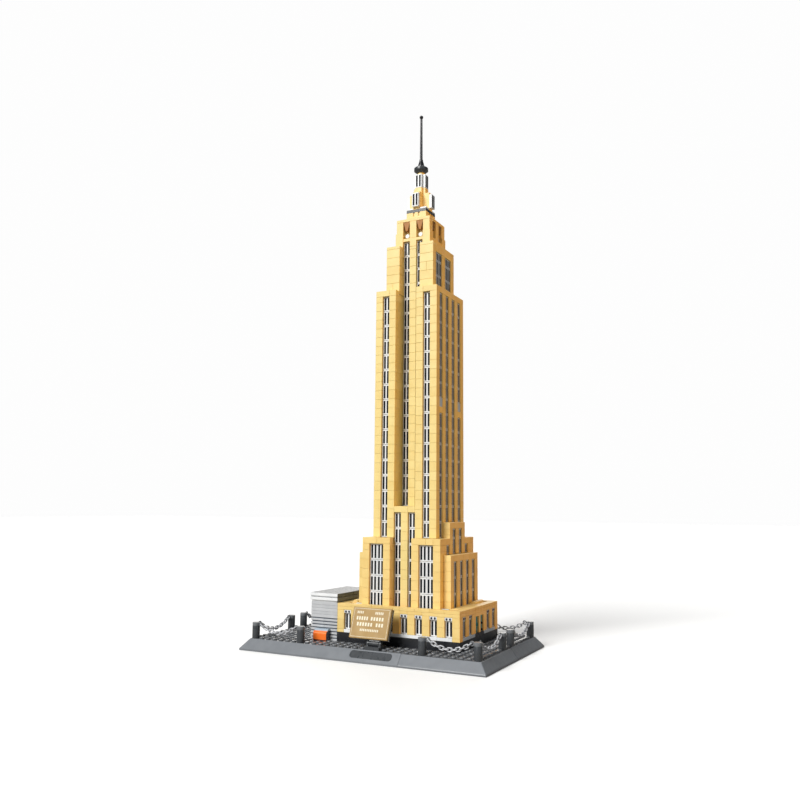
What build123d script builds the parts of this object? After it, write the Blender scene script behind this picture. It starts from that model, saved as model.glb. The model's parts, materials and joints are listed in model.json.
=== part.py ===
from build123d import *

import math
import os

# A brick-built skyscraper model on a studded base, in millimetres.
# X runs left to right along the front, Y from front to back, Z up.
# The origin is the bottom centre of the base.

# ---------------------------------------------------------------- driving dimensions
PITCH = 8.0                 # stud pitch, the unit of every plan dimension
PLATE = 3.2                 # height of one plate
BRICK = 3 * PLATE           # height of one brick
GAP = 0.1                   # moulding gap between neighbouring tiles
STUD_D = 4.8
STUD_H = 1.7

BASE_COLUMNS = 32           # studs along the front
BASE_ROWS = 20              # studs from front to back
BORDER = PITCH              # horizontal width of the sloped border
LIP = 1.6                   # upright edge at the foot of the border
BASE_TOP = 11.2             # top of the studded plate

CENTRE_X = 28.0             # axis of the tower and of the building under it
PODIUM_W = 17 * PITCH
PODIUM_D = 13 * PITCH
PLINTH_TOP = BASE_TOP + BRICK
SILL_TOP = PLINTH_TOP + PLATE
TILE_H = 2 * PITCH          # a 1 by 2 tile stands upright in every window
HEAD_TOP = SILL_TOP + TILE_H + PLATE
DECK = HEAD_TOP + PLATE     # roof of the podium; tower heights count from here
RIM_TOP = DECK + PLATE

TILE_T = 3.2                # thickness of a window tile
SLOT_W = 2.2
SLOT_H = 12.6
SLOT_GAP = 3.7              # between the middles of a tile's two slots
FRONT_RECESS = 2.8          # how far front and back windows stand back
SIDE_RECESS = 1.2           # the same for the two sides

CORNER_TOP = 70.4           # heights above DECK
SIDE_LOW_TOP = 54.4
SIDE_MID_TOP = 86.4
CENTRE_LOW_TOP = 102.4
WING_TOP = 332.8
HEADER = 6.4                # blank band over each run of windows
TIER_TOP = 384.0
CROWN_TOP = 416.0
LANTERN_TOP = CROWN_TOP + BRICK
SPIRE_FOOT = LANTERN_TOP + PLATE
SPIRE_TOP = SPIRE_FOOT + 46.4
DISH_H = 6.4
CONE_H = 9.6
MAST_H = 53.6
TIP_R = 2.1
ROD_FOOT_R = 1.6            # the mast's rod tapers a little towards its tip
ROD_HEAD_R = 1.2

POST_D = 7.8
POST_H = 4 * PLATE
CAP_H = PLATE
EYE_OUT = 5.9               # from a post's axis to the eye that holds a chain
EYE_R = 2.3
EYE_HOLE_R = 1.3
EYE_T = 1.0
WIRE = 1.2                  # wire of a chain link
LINK_L = 5.5                # between the ends of a link's centre line
LINK_W = 3.3
LINK_STEP = 4.2             # from one link to the next
EYE_Z = BASE_TOP + POST_H + CAP_H / 2

SIGN_W = 42.0
SIGN_H = 30.0
SIGN_LEAN = 19.0            # degrees back from upright
SIGN_X = 10.4
SIGN_Y = -74.0
SIGN_Z = BASE_TOP + 5.6     # the sign's hinge axis
BRACKET_X = 16.0
PIN_R = 1.5
RUN = 0.06                  # radial running clearance of a pin

DOOR_W = 5.8
DOOR_T = 1.2
DOOR_PIN_Y = 8.8
DOOR_PIN_R = 0.8

os.makedirs("parts", exist_ok=True)


def save(builder, name):
    """Label a finished piece and write it as its own STEP file."""
    builder.part.label = name
    export_step(builder.part, "parts/" + name + ".step")


def block(x, y, z, mode=Mode.ADD):
    """A box between two values on each axis, in the open builder."""
    size = (x[1] - x[0], y[1] - y[0], z[1] - z[0])
    with Locations(((x[0] + x[1]) / 2, (y[0] + y[1]) / 2, (z[0] + z[1]) / 2)):
        Box(*size, mode=mode)


def tower(x, y, z, mode=Mode.ADD):
    """A box in studs from the tower's axis, and in millimetres above the deck."""
    block(
        (CENTRE_X + x[0] * PITCH, CENTRE_X + x[1] * PITCH),
        (y[0] * PITCH, y[1] * PITCH),
        (DECK + z[0], DECK + z[1]),
        mode,
    )


def stud_xy(column, row):
    """Middle of a stud of the base plate, counted from the front left corner."""
    x = (column + 0.5 - BASE_COLUMNS / 2) * PITCH
    y = (row + 0.5 - BASE_ROWS / 2) * PITCH
    return (x, y)


# A face of the tower is "front", "back", "left" or "right". Its windows are set by
# the offset along the face, the distance of the wall plane from the tower's axis
# (both in studs) and the recess behind that plane.
TURN = {"front": 0, "right": 90, "back": 180, "left": 270}


def face_plane(side):
    """Plane whose x runs along a face and whose -y points out of it."""
    angle = math.radians(TURN[side])
    return Plane(
        origin=(CENTRE_X, 0, 0),
        x_dir=(math.cos(angle), math.sin(angle), 0),
        z_dir=(0, 0, 1),
    )


def channel(side, along, wall, z, width=1.0):
    """Cut the upright channel that holds a column of window tiles."""
    recess = FRONT_RECESS if side in ("front", "back") else SIDE_RECESS
    depth = recess + TILE_T
    plane = face_plane(side)
    centre = plane.from_local_coords(
        Vector(along * PITCH, -wall * PITCH + depth / 2, DECK + (z[0] + z[1]) / 2)
    )
    with Locations(Location(centre, (0, 0, TURN[side]))):
        Box(width * PITCH, depth, z[1] - z[0], mode=Mode.SUBTRACT)


def make_tile(height):
    """One upright window tile with two slots, its back on Y = 0, its foot on Z = 0."""
    with BuildPart() as tile:
        block((-PITCH / 2 + GAP / 2, PITCH / 2 - GAP / 2), (-TILE_T, 0), (GAP / 2, height - GAP / 2))
        slot = height - (TILE_H - SLOT_H)
        for x in (-SLOT_GAP / 2, SLOT_GAP / 2):
            block(
                (x - SLOT_W / 2, x + SLOT_W / 2),
                (-TILE_T, -TILE_T / 2),
                (height / 2 - slot / 2, height / 2 + slot / 2),
                Mode.SUBTRACT,
            )
    return tile.part


TILE = make_tile(TILE_H)
SHORT_TILE = make_tile(BRICK)


def tile_column(side, along, wall, z, count, shape=TILE, step=TILE_H, skip=()):
    """Stand tiles on each other in a channel, from the height z above the deck."""
    recess = FRONT_RECESS if side in ("front", "back") else SIDE_RECESS
    plane = face_plane(side)
    places = []
    for number in range(count):
        if number in skip:
            continue
        foot = plane.from_local_coords(
            Vector(along * PITCH, -wall * PITCH + recess + TILE_T, DECK + z + number * step)
        )
        places.append(Location(foot, (0, 0, TURN[side])))
    with Locations(*places):
        add(shape)


# ---------------------------------------------------------------- base
half_w = BASE_COLUMNS * PITCH / 2
half_d = BASE_ROWS * PITCH / 2

POSTS = [(0, 0), (7, 0), (24, 0), (31, 0), (0, 8), (0, 11), (31, 8), (31, 11)]
POSTS += [(0, 19), (7, 19), (24, 19), (31, 19)]
PODIUM_BOX = (CENTRE_X - PODIUM_W / 2, CENTRE_X + PODIUM_W / 2, -PODIUM_D / 2, PODIUM_D / 2)
ANNEX_BOX = (PODIUM_BOX[0] - 4 * PITCH, PODIUM_BOX[0], -PODIUM_D / 2, -PODIUM_D / 2 + 9 * PITCH)
KIOSK_BOX = (ANNEX_BOX[0] + PITCH, ANNEX_BOX[0] + 3 * PITCH, ANNEX_BOX[2] - PITCH, ANNEX_BOX[2])
BRACKET_BOX = (BRACKET_X - PITCH, BRACKET_X + PITCH, -half_d, -half_d + 2 * PITCH)
COVERED = (PODIUM_BOX, ANNEX_BOX, KIOSK_BOX, BRACKET_BOX)


def stud_is_free(column, row):
    """True where no post or building part stands on the stud."""
    if (column, row) in POSTS:
        return False
    x, y = stud_xy(column, row)
    reach = STUD_D / 2
    for x0, x1, y0, y1 in COVERED:
        if x0 - reach < x < x1 + reach and y0 - reach < y < y1 + reach:
            return False
    return True


free_studs = [
    stud_xy(column, row)
    for column in range(BASE_COLUMNS)
    for row in range(BASE_ROWS)
    if stud_is_free(column, row)
]

with BuildPart() as base_plate:
    block((-half_w, half_w), (-half_d, half_d), (BASE_TOP - PLATE, BASE_TOP))
    with BuildSketch(Plane.XY.offset(BASE_TOP)):
        with Locations(*free_studs):
            Circle(STUD_D / 2)
    extrude(amount=STUD_H)
save(base_plate, "base_plate")

RIB = 4.0
BAYS_X = 6
BAYS_Y = 4
bay_x = (2 * half_w - RIB) / BAYS_X
bay_y = (2 * half_d - RIB) / BAYS_Y
with BuildPart() as base_underframe:
    block((-half_w, half_w), (-half_d, half_d), (0, BASE_TOP - PLATE))
    with GridLocations(bay_x, bay_y, BAYS_X, BAYS_Y):
        Box(
            bay_x - RIB,
            bay_y - RIB,
            BASE_TOP - 2 * PLATE,
            align=(Align.CENTER, Align.CENTER, Align.MIN),
            mode=Mode.SUBTRACT,
        )
save(base_underframe, "base_underframe")

PANEL_X = 17.0              # middle of the inlay on the front slope
PANEL_W = 45.6
PANEL_T = 0.8
PANEL_H = 8.0
PANEL_DROP = 1.3            # from the top edge of the slope down to the inlay
SLOPE = math.degrees(math.atan2(BASE_TOP - LIP, BORDER))
slope_plane = Plane(
    origin=(PANEL_X, -half_d, BASE_TOP),
    x_dir=(1, 0, 0),
    z_dir=(0, -math.sin(math.radians(SLOPE)), math.cos(math.radians(SLOPE))),
)


def panel_outline(inset):
    """The inlay's outline, round at its two lower corners."""
    with BuildSketch(slope_plane) as outline:
        with Locations((0, -PANEL_H / 2 - PANEL_DROP)):
            Rectangle(PANEL_W - 2 * inset, PANEL_H - 2 * inset)
        fillet(outline.vertices().group_by(Axis.Z)[0], 3.2)
    return outline


def border_piece(x_cut, y_cut, sign_x, sign_y, name):
    """One L of the sloped border, between a cut on the long side and one on the short side."""
    far_x = half_w + BORDER
    far_y = half_d + BORDER
    with BuildPart() as piece:
        with BuildSketch(Plane.XY):
            Rectangle(2 * far_x, 2 * far_y)
        extrude(amount=LIP)
        with BuildSketch(Plane.XY.offset(LIP)):
            Rectangle(2 * far_x, 2 * far_y)
        with BuildSketch(Plane.XY.offset(BASE_TOP)):
            Rectangle(2 * half_w, 2 * half_d)
        loft()
        block((-half_w, half_w), (-half_d, half_d), (-1, BASE_TOP + 1), Mode.SUBTRACT)
        x_range = sorted((x_cut, sign_x * (far_x + 1)))
        y_range = sorted((sign_y * half_d, sign_y * (far_y + 1)))
        side_x = sorted((sign_x * half_w, sign_x * (far_x + 1)))
        side_y = sorted((y_cut, sign_y * (far_y + 1)))
        keep_front = Pos(sum(x_range) / 2, sum(y_range) / 2, 0) * Box(
            x_range[1] - x_range[0], y_range[1] - y_range[0], 40, mode=Mode.PRIVATE
        )
        keep_side = Pos(sum(side_x) / 2, sum(side_y) / 2, 0) * Box(
            side_x[1] - side_x[0], side_y[1] - side_y[0], 40, mode=Mode.PRIVATE
        )
        add(keep_front + keep_side, mode=Mode.INTERSECT)
        if name == "border_front_left":
            extrude(panel_outline(0).sketch, amount=-PANEL_T, mode=Mode.SUBTRACT)
    save(piece, name)


front_cut = -half_w + 22 * PITCH
back_cut = half_w - 22 * PITCH
border_piece(front_cut, 0, -1, -1, "border_front_left")
border_piece(front_cut, 0, 1, -1, "border_front_right")
border_piece(back_cut, 0, 1, 1, "border_back_right")
border_piece(back_cut, 0, -1, 1, "border_back_left")

with BuildPart() as border_panel:
    inlay = panel_outline(0.15)
    extrude(inlay.sketch, amount=-PANEL_T)
save(border_panel, "border_panel")

# ---------------------------------------------------------------- posts and chains
post_places = [stud_xy(*post) for post in POSTS]
with BuildPart() as fence_posts:
    with BuildSketch(Plane.XY.offset(BASE_TOP)):
        with Locations(*post_places):
            Circle(POST_D / 2)
    extrude(amount=POST_H)
    for x, y in post_places:
        for groove in range(1, 4):
            with Locations((x, y, BASE_TOP + groove * PLATE)):
                ring = Cylinder(POST_D / 2 + 1, 0.4, mode=Mode.PRIVATE)
                ring = ring - Cylinder(POST_D / 2 - 0.5, 0.4, mode=Mode.PRIVATE)
                add(ring, mode=Mode.SUBTRACT)
save(fence_posts, "fence_posts")

# Each chain runs from one post to another: its name, its two posts and its links.
CHAINS = [
    ("front_left", (0, 0), (7, 0), 11),
    ("front_right", (24, 0), (31, 0), 11),
    ("back_left", (0, 19), (7, 19), 11),
    ("back_right", (24, 19), (31, 19), 11),
    ("left_front", (0, 0), (0, 8), 13),
    ("left_back", (0, 11), (0, 19), 13),
    ("right_front", (31, 0), (31, 8), 13),
    ("right_back", (31, 11), (31, 19), 13),
]


def run_of(first, last):
    """Middle of the first post, direction to the last, and the distance between them."""
    start = Vector(*stud_xy(*first), EYE_Z)
    end = Vector(*stud_xy(*last), EYE_Z)
    return start, (end - start).normalized(), (end - start).length


with BuildPart() as post_caps:
    for x, y in post_places:
        with Locations((x, y, BASE_TOP + POST_H + CAP_H / 2)):
            Cylinder(POST_D / 2, CAP_H)
    for name, first, last, links in CHAINS:
        start, way, length = run_of(first, last)
        for middle, out in ((start, way), (start + way * length, way * -1)):
            across = Vector(0, 0, 1).cross(out)
            eye_plane = Plane(origin=middle - across * (EYE_T / 2), x_dir=out, z_dir=across)
            with BuildSketch(eye_plane) as eye:
                with Locations((EYE_OUT, 0)):
                    Circle(EYE_R)
                with Locations((EYE_OUT / 2 + POST_D / 4 - 0.6, 0)):
                    Rectangle(EYE_OUT - POST_D / 2 + 1.2, 2 * EYE_R - 1.6)
                with Locations((EYE_OUT, 0)):
                    Circle(EYE_HOLE_R, mode=Mode.SUBTRACT)
            extrude(amount=EYE_T)
save(post_caps, "post_caps")

with BuildPart() as link:
    straight = LINK_L - LINK_W
    side_y = LINK_W / 2
    with BuildLine() as rounded:
        Line((-straight / 2, -side_y), (straight / 2, -side_y))
        RadiusArc((straight / 2, -side_y), (straight / 2, side_y), -side_y)
        Line((straight / 2, side_y), (-straight / 2, side_y))
        RadiusArc((-straight / 2, side_y), (-straight / 2, -side_y), -side_y)
    with BuildSketch(Plane(origin=(0, -side_y, 0), z_dir=(1, 0, 0))):
        Circle(WIRE / 2)
    sweep(path=rounded.wires()[0])
LINK = link.part


def link_turn(links, span):
    """Angle between neighbouring links, so that a chain of them just fills the span."""
    low = 0.0
    high = math.pi / links
    for _ in range(60):
        turn = (low + high) / 2
        reach = sum(LINK_STEP * math.cos(turn * (k - (links - 1) / 2)) for k in range(links))
        if reach > span:
            low = turn
        else:
            high = turn
    return turn


for name, first, last, links in CHAINS:
    start, way, length = run_of(first, last)
    span = length - 2 * (EYE_OUT + (LINK_L - LINK_STEP) / 2)
    turn = link_turn(links, span)
    joint = start + way * ((length - span) / 2)
    places = []
    for k in range(links):
        slope = turn * (k - (links - 1) / 2)
        along = way * math.cos(slope) + Vector(0, 0, math.sin(slope))
        middle = joint + along * (LINK_STEP / 2)
        joint = joint + along * LINK_STEP
        across = Vector(0, 0, 1).cross(way)
        normal = across if k % 2 else along.cross(across)
        places.append(Plane(origin=middle, x_dir=along, z_dir=normal).location)
    with BuildPart() as chain:
        with Locations(*places):
            add(LINK)
    save(chain, "chain_" + name)

# ---------------------------------------------------------------- podium
px = (CENTRE_X - PODIUM_W / 2, CENTRE_X + PODIUM_W / 2)
py = (-PODIUM_D / 2, PODIUM_D / 2)
ENTRANCE = (-12.0, 12.0)    # three studs wide, in the right wall

WALL = PITCH
with BuildPart() as podium_plinth:
    block(px, py, (BASE_TOP, PLINTH_TOP))
    block((px[0] + WALL, px[1] - WALL), (py[0] + WALL, py[1] - WALL), (PLINTH_TOP, HEAD_TOP))
    block((px[1] - WALL, px[1]), ENTRANCE, (PLINTH_TOP, SILL_TOP))
save(podium_plinth, "podium_plinth")

with BuildPart() as podium_sills:
    block((px[0] + WALL, px[1] - WALL), (py[0], py[0] + WALL), (PLINTH_TOP, SILL_TOP))
    block((px[0] + WALL, px[1] - WALL), (py[1] - WALL, py[1]), (PLINTH_TOP, SILL_TOP))
    block((px[0], px[0] + WALL), (py[0] + WALL, py[1] - WALL), (PLINTH_TOP, SILL_TOP))
    block((px[1] - WALL, px[1]), (py[0] + WALL, ENTRANCE[0]), (PLINTH_TOP, SILL_TOP))
    block((px[1] - WALL, px[1]), (ENTRANCE[1], py[1] - WALL), (PLINTH_TOP, SILL_TOP))
save(podium_sills, "podium_sills")

PODIUM_FRONT = 6.5          # studs from the axis to the front wall plane
PODIUM_SIDE = 8.5
front_bays = [-7 + 2 * bay for bay in range(8)]
side_bays = [-5, -3, 3, 5]
window_z = (SILL_TOP - DECK, HEAD_TOP - DECK)

with BuildPart() as podium_walls:
    block(px, py, (SILL_TOP, HEAD_TOP))
    for x in (px[0], px[1] - WALL):
        for y in (py[0], py[1] - WALL):
            block((x, x + WALL), (y, y + WALL), (PLINTH_TOP, SILL_TOP))
    block(
        (px[0] + WALL, px[1] - WALL),
        (py[0] + WALL, py[1] - WALL),
        (SILL_TOP, HEAD_TOP),
        Mode.SUBTRACT,
    )
    block((px[1] - WALL, px[1]), ENTRANCE, (SILL_TOP, HEAD_TOP), Mode.SUBTRACT)
    for bay in front_bays:
        channel("front", bay, PODIUM_FRONT, window_z)
        channel("back", bay, PODIUM_FRONT, window_z)
    for bay in side_bays:
        channel("right", bay, PODIUM_SIDE, window_z)
    channel("left", -5, PODIUM_SIDE, window_z)
save(podium_walls, "podium_walls")

with BuildPart() as podium_windows:
    for bay in front_bays:
        tile_column("front", bay, PODIUM_FRONT, window_z[0], 1)
        tile_column("back", bay, PODIUM_FRONT, window_z[0], 1)
    for bay in side_bays:
        tile_column("right", bay, PODIUM_SIDE, window_z[0], 1)
    tile_column("left", -5, PODIUM_SIDE, window_z[0], 1)
save(podium_windows, "podium_windows")

HEAD_SET = 0.3              # the heads stand this far behind the wall


def head_block(side, along, wall):
    """The small piece over one window, with two round marks."""
    recess = FRONT_RECESS if side in ("front", "back") else SIDE_RECESS
    depth = recess + TILE_T - HEAD_SET
    plane = face_plane(side)
    centre = plane.from_local_coords(
        Vector(along * PITCH, -wall * PITCH + HEAD_SET + depth / 2, HEAD_TOP - PLATE / 2)
    )
    with Locations(Location(centre, (0, 0, TURN[side]))):
        Box(PITCH - GAP, depth, PLATE - GAP)


with BuildPart() as podium_heads:
    for bay in front_bays:
        head_block("front", bay, PODIUM_FRONT)
        head_block("back", bay, PODIUM_FRONT)
    for bay in side_bays:
        head_block("right", bay, PODIUM_SIDE)
    head_block("left", -5, PODIUM_SIDE)
save(podium_heads, "podium_heads")

with BuildPart() as podium_deck:
    block(px, py, (HEAD_TOP, DECK))
save(podium_deck, "podium_deck")

with BuildPart() as podium_cornice:
    block(px, py, (DECK, RIM_TOP))
    block((px[0] + WALL, px[1] - WALL), (py[0] + WALL, py[1] - WALL), (DECK, RIM_TOP), Mode.SUBTRACT)
save(podium_cornice, "podium_cornice")

LAMP_R = 1.6
with BuildPart() as roof_lamps:
    for side_x in (-1, 1):
        for side_y in (-1, 1):
            x = CENTRE_X + side_x * 6.0 * PITCH
            y = side_y * 5.0 * PITCH
            with Locations(Location((x, y, DECK + LAMP_R), (0, 90, 0))):
                Cylinder(LAMP_R, PITCH - GAP)
save(roof_lamps, "roof_lamps")

HUMP_R = 2.6
with BuildPart() as roof_strip:
    for side in (-1, 1):
        tower(sorted((side * 6.5, side * 7.5)), (-4.5, 4.5), (0, PLATE))
        with BuildSketch(Plane.XZ.offset(-side * 4.5 * PITCH)):
            with Locations((CENTRE_X + side * 7.0 * PITCH, DECK + PLATE)):
                Circle(HUMP_R)
                Rectangle(2 * HUMP_R, HUMP_R, align=(Align.CENTER, Align.MAX), mode=Mode.SUBTRACT)
        extrude(amount=side * 3 * PITCH)
save(roof_strip, "roof_strip")

# ---------------------------------------------------------------- entrance
frame_x = (px[1] - WALL, px[1])
jamb_in = DOOR_PIN_Y + 1.7
leaf_foot = SILL_TOP + 0.2
leaf_head = SILL_TOP + TILE_H
pin_x = px[1] - 2.1
with BuildPart() as door_frame:
    block(frame_x, (ENTRANCE[0], -jamb_in), (SILL_TOP, HEAD_TOP))
    block(frame_x, (jamb_in, ENTRANCE[1]), (SILL_TOP, HEAD_TOP))
    block(frame_x, (-2.4, 2.4), (SILL_TOP, HEAD_TOP))
    block(frame_x, ENTRANCE, (leaf_head + 0.2, HEAD_TOP))
    block((frame_x[0], frame_x[0] + 2.0), ENTRANCE, (SILL_TOP, HEAD_TOP))
save(door_frame, "door_frame")

CLIP_H = 2.0
CLIP_R = 1.7
clip_levels = (leaf_foot + 1.6, (leaf_foot + leaf_head) / 2)
with BuildPart() as door_clips:
    for y in (-DOOR_PIN_Y, DOOR_PIN_Y):
        for z in clip_levels:
            with Locations((pin_x, y, z)):
                Cylinder(CLIP_R, CLIP_H)
                Cylinder(DOOR_PIN_R + RUN, CLIP_H, mode=Mode.SUBTRACT)
save(door_clips, "door_clips")

for name, side in (("door_leaf_front", -1), ("door_leaf_back", 1)):
    pin_y = side * DOOR_PIN_Y
    edge = side * (DOOR_PIN_Y - DOOR_W)
    with BuildPart() as door_leaf:
        block(
            (pin_x - DOOR_T / 2, pin_x + DOOR_T / 2),
            sorted((pin_y, edge)),
            (leaf_foot, leaf_head),
        )
        for z in clip_levels:
            with Locations((pin_x, pin_y, z)):
                Cylinder(CLIP_R + 0.3, CLIP_H + 0.4, mode=Mode.SUBTRACT)
        with Locations((pin_x, pin_y, (leaf_foot + leaf_head) / 2)):
            Cylinder(DOOR_PIN_R, leaf_head - leaf_foot)
        with Locations((pin_x + DOOR_T / 2 + 0.3, side * 3.9, (leaf_foot + leaf_head) / 2)):
            Box(1.0, 0.8, 3.0)
    save(door_leaf, name)

# ---------------------------------------------------------------- annex and kiosk
ax = (ANNEX_BOX[0], ANNEX_BOX[1])
ay = (ANNEX_BOX[2], ANNEX_BOX[3])
ANNEX_TOP = BASE_TOP + 38.4
GROOVE = 0.7
with BuildPart() as annex_body:
    block(ax, ay, (BASE_TOP, ANNEX_TOP))
    for course in range(1, 8):
        z = BASE_TOP + course * PLATE
        block((ax[0], ax[1]), (ay[0], ay[0] + GROOVE), (z - 0.5, z + 0.5), Mode.SUBTRACT)
        block((ax[0], ax[0] + GROOVE), ay, (z - 0.5, z + 0.5), Mode.SUBTRACT)
        block((ax[0], ax[1]), (ay[1] - GROOVE, ay[1]), (z - 0.5, z + 0.5), Mode.SUBTRACT)
save(annex_body, "annex_body")

EAVES = 1.2                 # how far the roof plates stand out
LAYERS = [(0, 1.6, -0.4), (1.6, 4.8, EAVES), (4.8, 5.8, 0.2), (5.8, 9.0, EAVES)]
with BuildPart() as annex_roof:
    for foot, head, out in LAYERS:
        block(
            (ax[0] - out, ax[1] + max(out, 0) / 2),
            (ay[0] - out, ay[1] + out),
            (ANNEX_TOP + foot, ANNEX_TOP + head),
        )
save(annex_roof, "annex_roof")

kx = (KIOSK_BOX[0], KIOSK_BOX[1])
ky = (KIOSK_BOX[2], KIOSK_BOX[3])
KIOSK_FOOT = BASE_TOP + 1.4
KIOSK_BODY = KIOSK_FOOT + 8.6
with BuildPart() as kiosk_base:
    block((kx[0] + 0.4, kx[1] - 0.4), (ky[0] + 0.4, ky[1]), (BASE_TOP, KIOSK_FOOT))
save(kiosk_base, "kiosk_base")

with BuildPart() as kiosk_body:
    block(kx, ky, (KIOSK_FOOT, KIOSK_BODY))
    front_edges = kiosk_body.edges().filter_by(Axis.X).group_by(Axis.Y)[0]
    fillet(front_edges.sort_by(Axis.Z)[-1], 3.0)
save(kiosk_body, "kiosk_body")

with BuildPart() as kiosk_canopy:
    block(kx, (ky[0] + 3.0, ky[1]), (KIOSK_BODY, KIOSK_BODY + 1.8))
save(kiosk_canopy, "kiosk_canopy")

# ---------------------------------------------------------------- sign
LUG_T = 2.4
LUG_GAP = 0.2
BARREL_R = 2.4
with BuildPart() as sign_bracket:
    block((BRACKET_BOX[0], BRACKET_BOX[1]), (BRACKET_BOX[2], BRACKET_BOX[3]), (BASE_TOP, BASE_TOP + PLATE))
    for x in (BRACKET_X - PITCH + LUG_T / 2, BRACKET_X + PITCH - LUG_T / 2):
        block(
            (x - LUG_T / 2, x + LUG_T / 2),
            (SIGN_Y - BARREL_R, SIGN_Y + BARREL_R),
            (BASE_TOP + PLATE, SIGN_Z),
        )
        with Locations(Location((x, SIGN_Y, SIGN_Z), (0, 90, 0))):
            Cylinder(BARREL_R, LUG_T)
            Cylinder(PIN_R + RUN, LUG_T, mode=Mode.SUBTRACT)
save(sign_bracket, "sign_bracket")

sign_frame = Location((SIGN_X, SIGN_Y, SIGN_Z), (-SIGN_LEAN, 0, 0))
barrel_len = 2 * PITCH - 2 * LUG_T - 2 * LUG_GAP
SIGN_FOOT = 3.0             # from the hinge axis up to the foot of the sign
with BuildPart() as sign_back:
    with Locations(sign_frame):
        with Locations((0, -PLATE / 2 + 1.2, SIGN_FOOT + SIGN_H / 2)):
            Box(SIGN_W, PLATE, SIGN_H)
        with Locations((BRACKET_X - SIGN_X, 0, SIGN_FOOT / 2 + 0.4)):
            Box(barrel_len, 2.4, SIGN_FOOT)
    with Locations(Location((BRACKET_X, SIGN_Y, SIGN_Z), (0, 90, 0))):
        Cylinder(BARREL_R, barrel_len)
        Cylinder(PIN_R, 2 * PITCH)
save(sign_back, "sign_back")

with BuildPart() as sign_face:
    with Locations(sign_frame):
        with Locations((0, -1.5 * PLATE + 1.2, SIGN_FOOT + SIGN_H / 2)):
            Box(SIGN_W, PLATE, SIGN_H)
save(sign_face, "sign_face")

# ---------------------------------------------------------------- tower
low = SIDE_LOW_TOP
side_strips = (-3, -1, 1, 3)

with BuildPart() as corner_blocks:
    for sx in (-1, 1):
        for sy in (-1, 1):
            x_leg = sorted((sx * 5.5, sx * 1.5))
            y_leg = sorted((sy * 5.5, sy * 4.5))
            tower(x_leg, y_leg, (0, CORNER_TOP))
            tower(sorted((sx * 5.5, sx * 4.5)), sorted((sy * 4.5, sy * 2.5)), (0, CORNER_TOP))
    for side in ("front", "back"):
        for along in (-3.5, 3.5):
            channel(side, along, 5.5, (0, CORNER_TOP - HEADER), 2.0)
    for side in ("left", "right"):
        for along in (-3, 3):
            channel(side, along, 5.5, (low, CORNER_TOP - HEADER))
save(corner_blocks, "corner_blocks")

with BuildPart() as side_blocks:
    for side in (-1, 1):
        tower(sorted((side * 5.5, side * 4.5)), (-2.5, 2.5), (0, SIDE_MID_TOP))
        tower(sorted((side * 6.5, side * 5.5)), (-4.5, 4.5), (0, low))
    for side in ("left", "right"):
        for along in (-1, 1):
            channel(side, along, 5.5, (low, SIDE_MID_TOP - HEADER))
        for along in side_strips:
            channel(side, along, 6.5, (0, low - HEADER))
save(side_blocks, "side_blocks")

with BuildPart() as centre_low_walls:
    for side in (-1, 1):
        tower((-1.5, 1.5), sorted((side * 4.5, side * 2.5)), (0, CENTRE_LOW_TOP))
    for side in ("front", "back"):
        for along in (-1, 1):
            channel(side, along, 4.5, (0, CENTRE_LOW_TOP - HEADER))
save(centre_low_walls, "centre_low_walls")

BREAK = CORNER_TOP + 8 * TILE_H     # foot of the plain pieces in the outer side strips


def strip_foot(along):
    """Height above the deck where a strip of side windows starts."""
    return CORNER_TOP if abs(along) > 2 else SIDE_MID_TOP


for name, side in (("shaft_left_wing", -1), ("shaft_right_wing", 1)):
    with BuildPart() as wing:
        tower(sorted((side * 4.5, side * 1.5)), (-4.5, 4.5), (0, WING_TOP))
        for face in ("front", "back"):
            turned = side if face == "front" else -side
            channel(face, turned * 3, 4.5, (CORNER_TOP, WING_TOP - HEADER))
        face = "left" if side < 0 else "right"
        for along in side_strips:
            foot = strip_foot(along)
            if abs(along) > 2:
                channel(face, along, 4.5, (foot, BREAK))
                channel(face, along, 4.5, (BREAK + HEADER, WING_TOP - HEADER))
            else:
                channel(face, along, 4.5, (foot, WING_TOP - HEADER))
    save(wing, name)

with BuildPart() as shaft_centre:
    tower((-1.5, 1.5), (-2.5, 2.5), (0, TIER_TOP))
    for face in ("front", "back"):
        for along in (-1, 1):
            channel(face, along, 2.5, (CENTRE_LOW_TOP, TIER_TOP))
save(shaft_centre, "shaft_centre")

with BuildPart() as shaft_windows:
    wing_rows = round((WING_TOP - HEADER - CORNER_TOP) / TILE_H)
    centre_rows = round((TIER_TOP + HEADER - CENTRE_LOW_TOP) / TILE_H)
    for face in ("front", "back"):
        for along in (-3, 3):
            tile_column(face, along, 4.5, CORNER_TOP, wing_rows)
        for along in (-1, 1):
            tile_column(face, along, 2.5, CENTRE_LOW_TOP, centre_rows)
save(shaft_windows, "shaft_windows")

with BuildPart() as side_windows:
    for face in ("left", "right"):
        for along in side_strips:
            foot = strip_foot(along)
            rows = round((WING_TOP - HEADER - foot) / TILE_H)
            skip = (8,) if abs(along) > 2 else ()
            tile_column(face, along, 4.5, foot, rows, skip=skip)
        for along in (-3, 3):
            centre = face_plane(face).from_local_coords(
                Vector(along * PITCH, -4.5 * PITCH + TILE_T / 2 + 0.4, DECK + BREAK + HEADER + BRICK / 2)
            )
            with Locations(Location(centre, (0, 0, TURN[face]))):
                Box(PITCH - GAP, TILE_T + 0.8, BRICK - GAP)
        for along in (-2, -1, 1, 2):
            tile_column(face, along, 3.5, WING_TOP, 2)
            tile_column(face, along, 3.5, WING_TOP + 2 * TILE_H, 1, SHORT_TILE)
save(side_windows, "side_windows")

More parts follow.
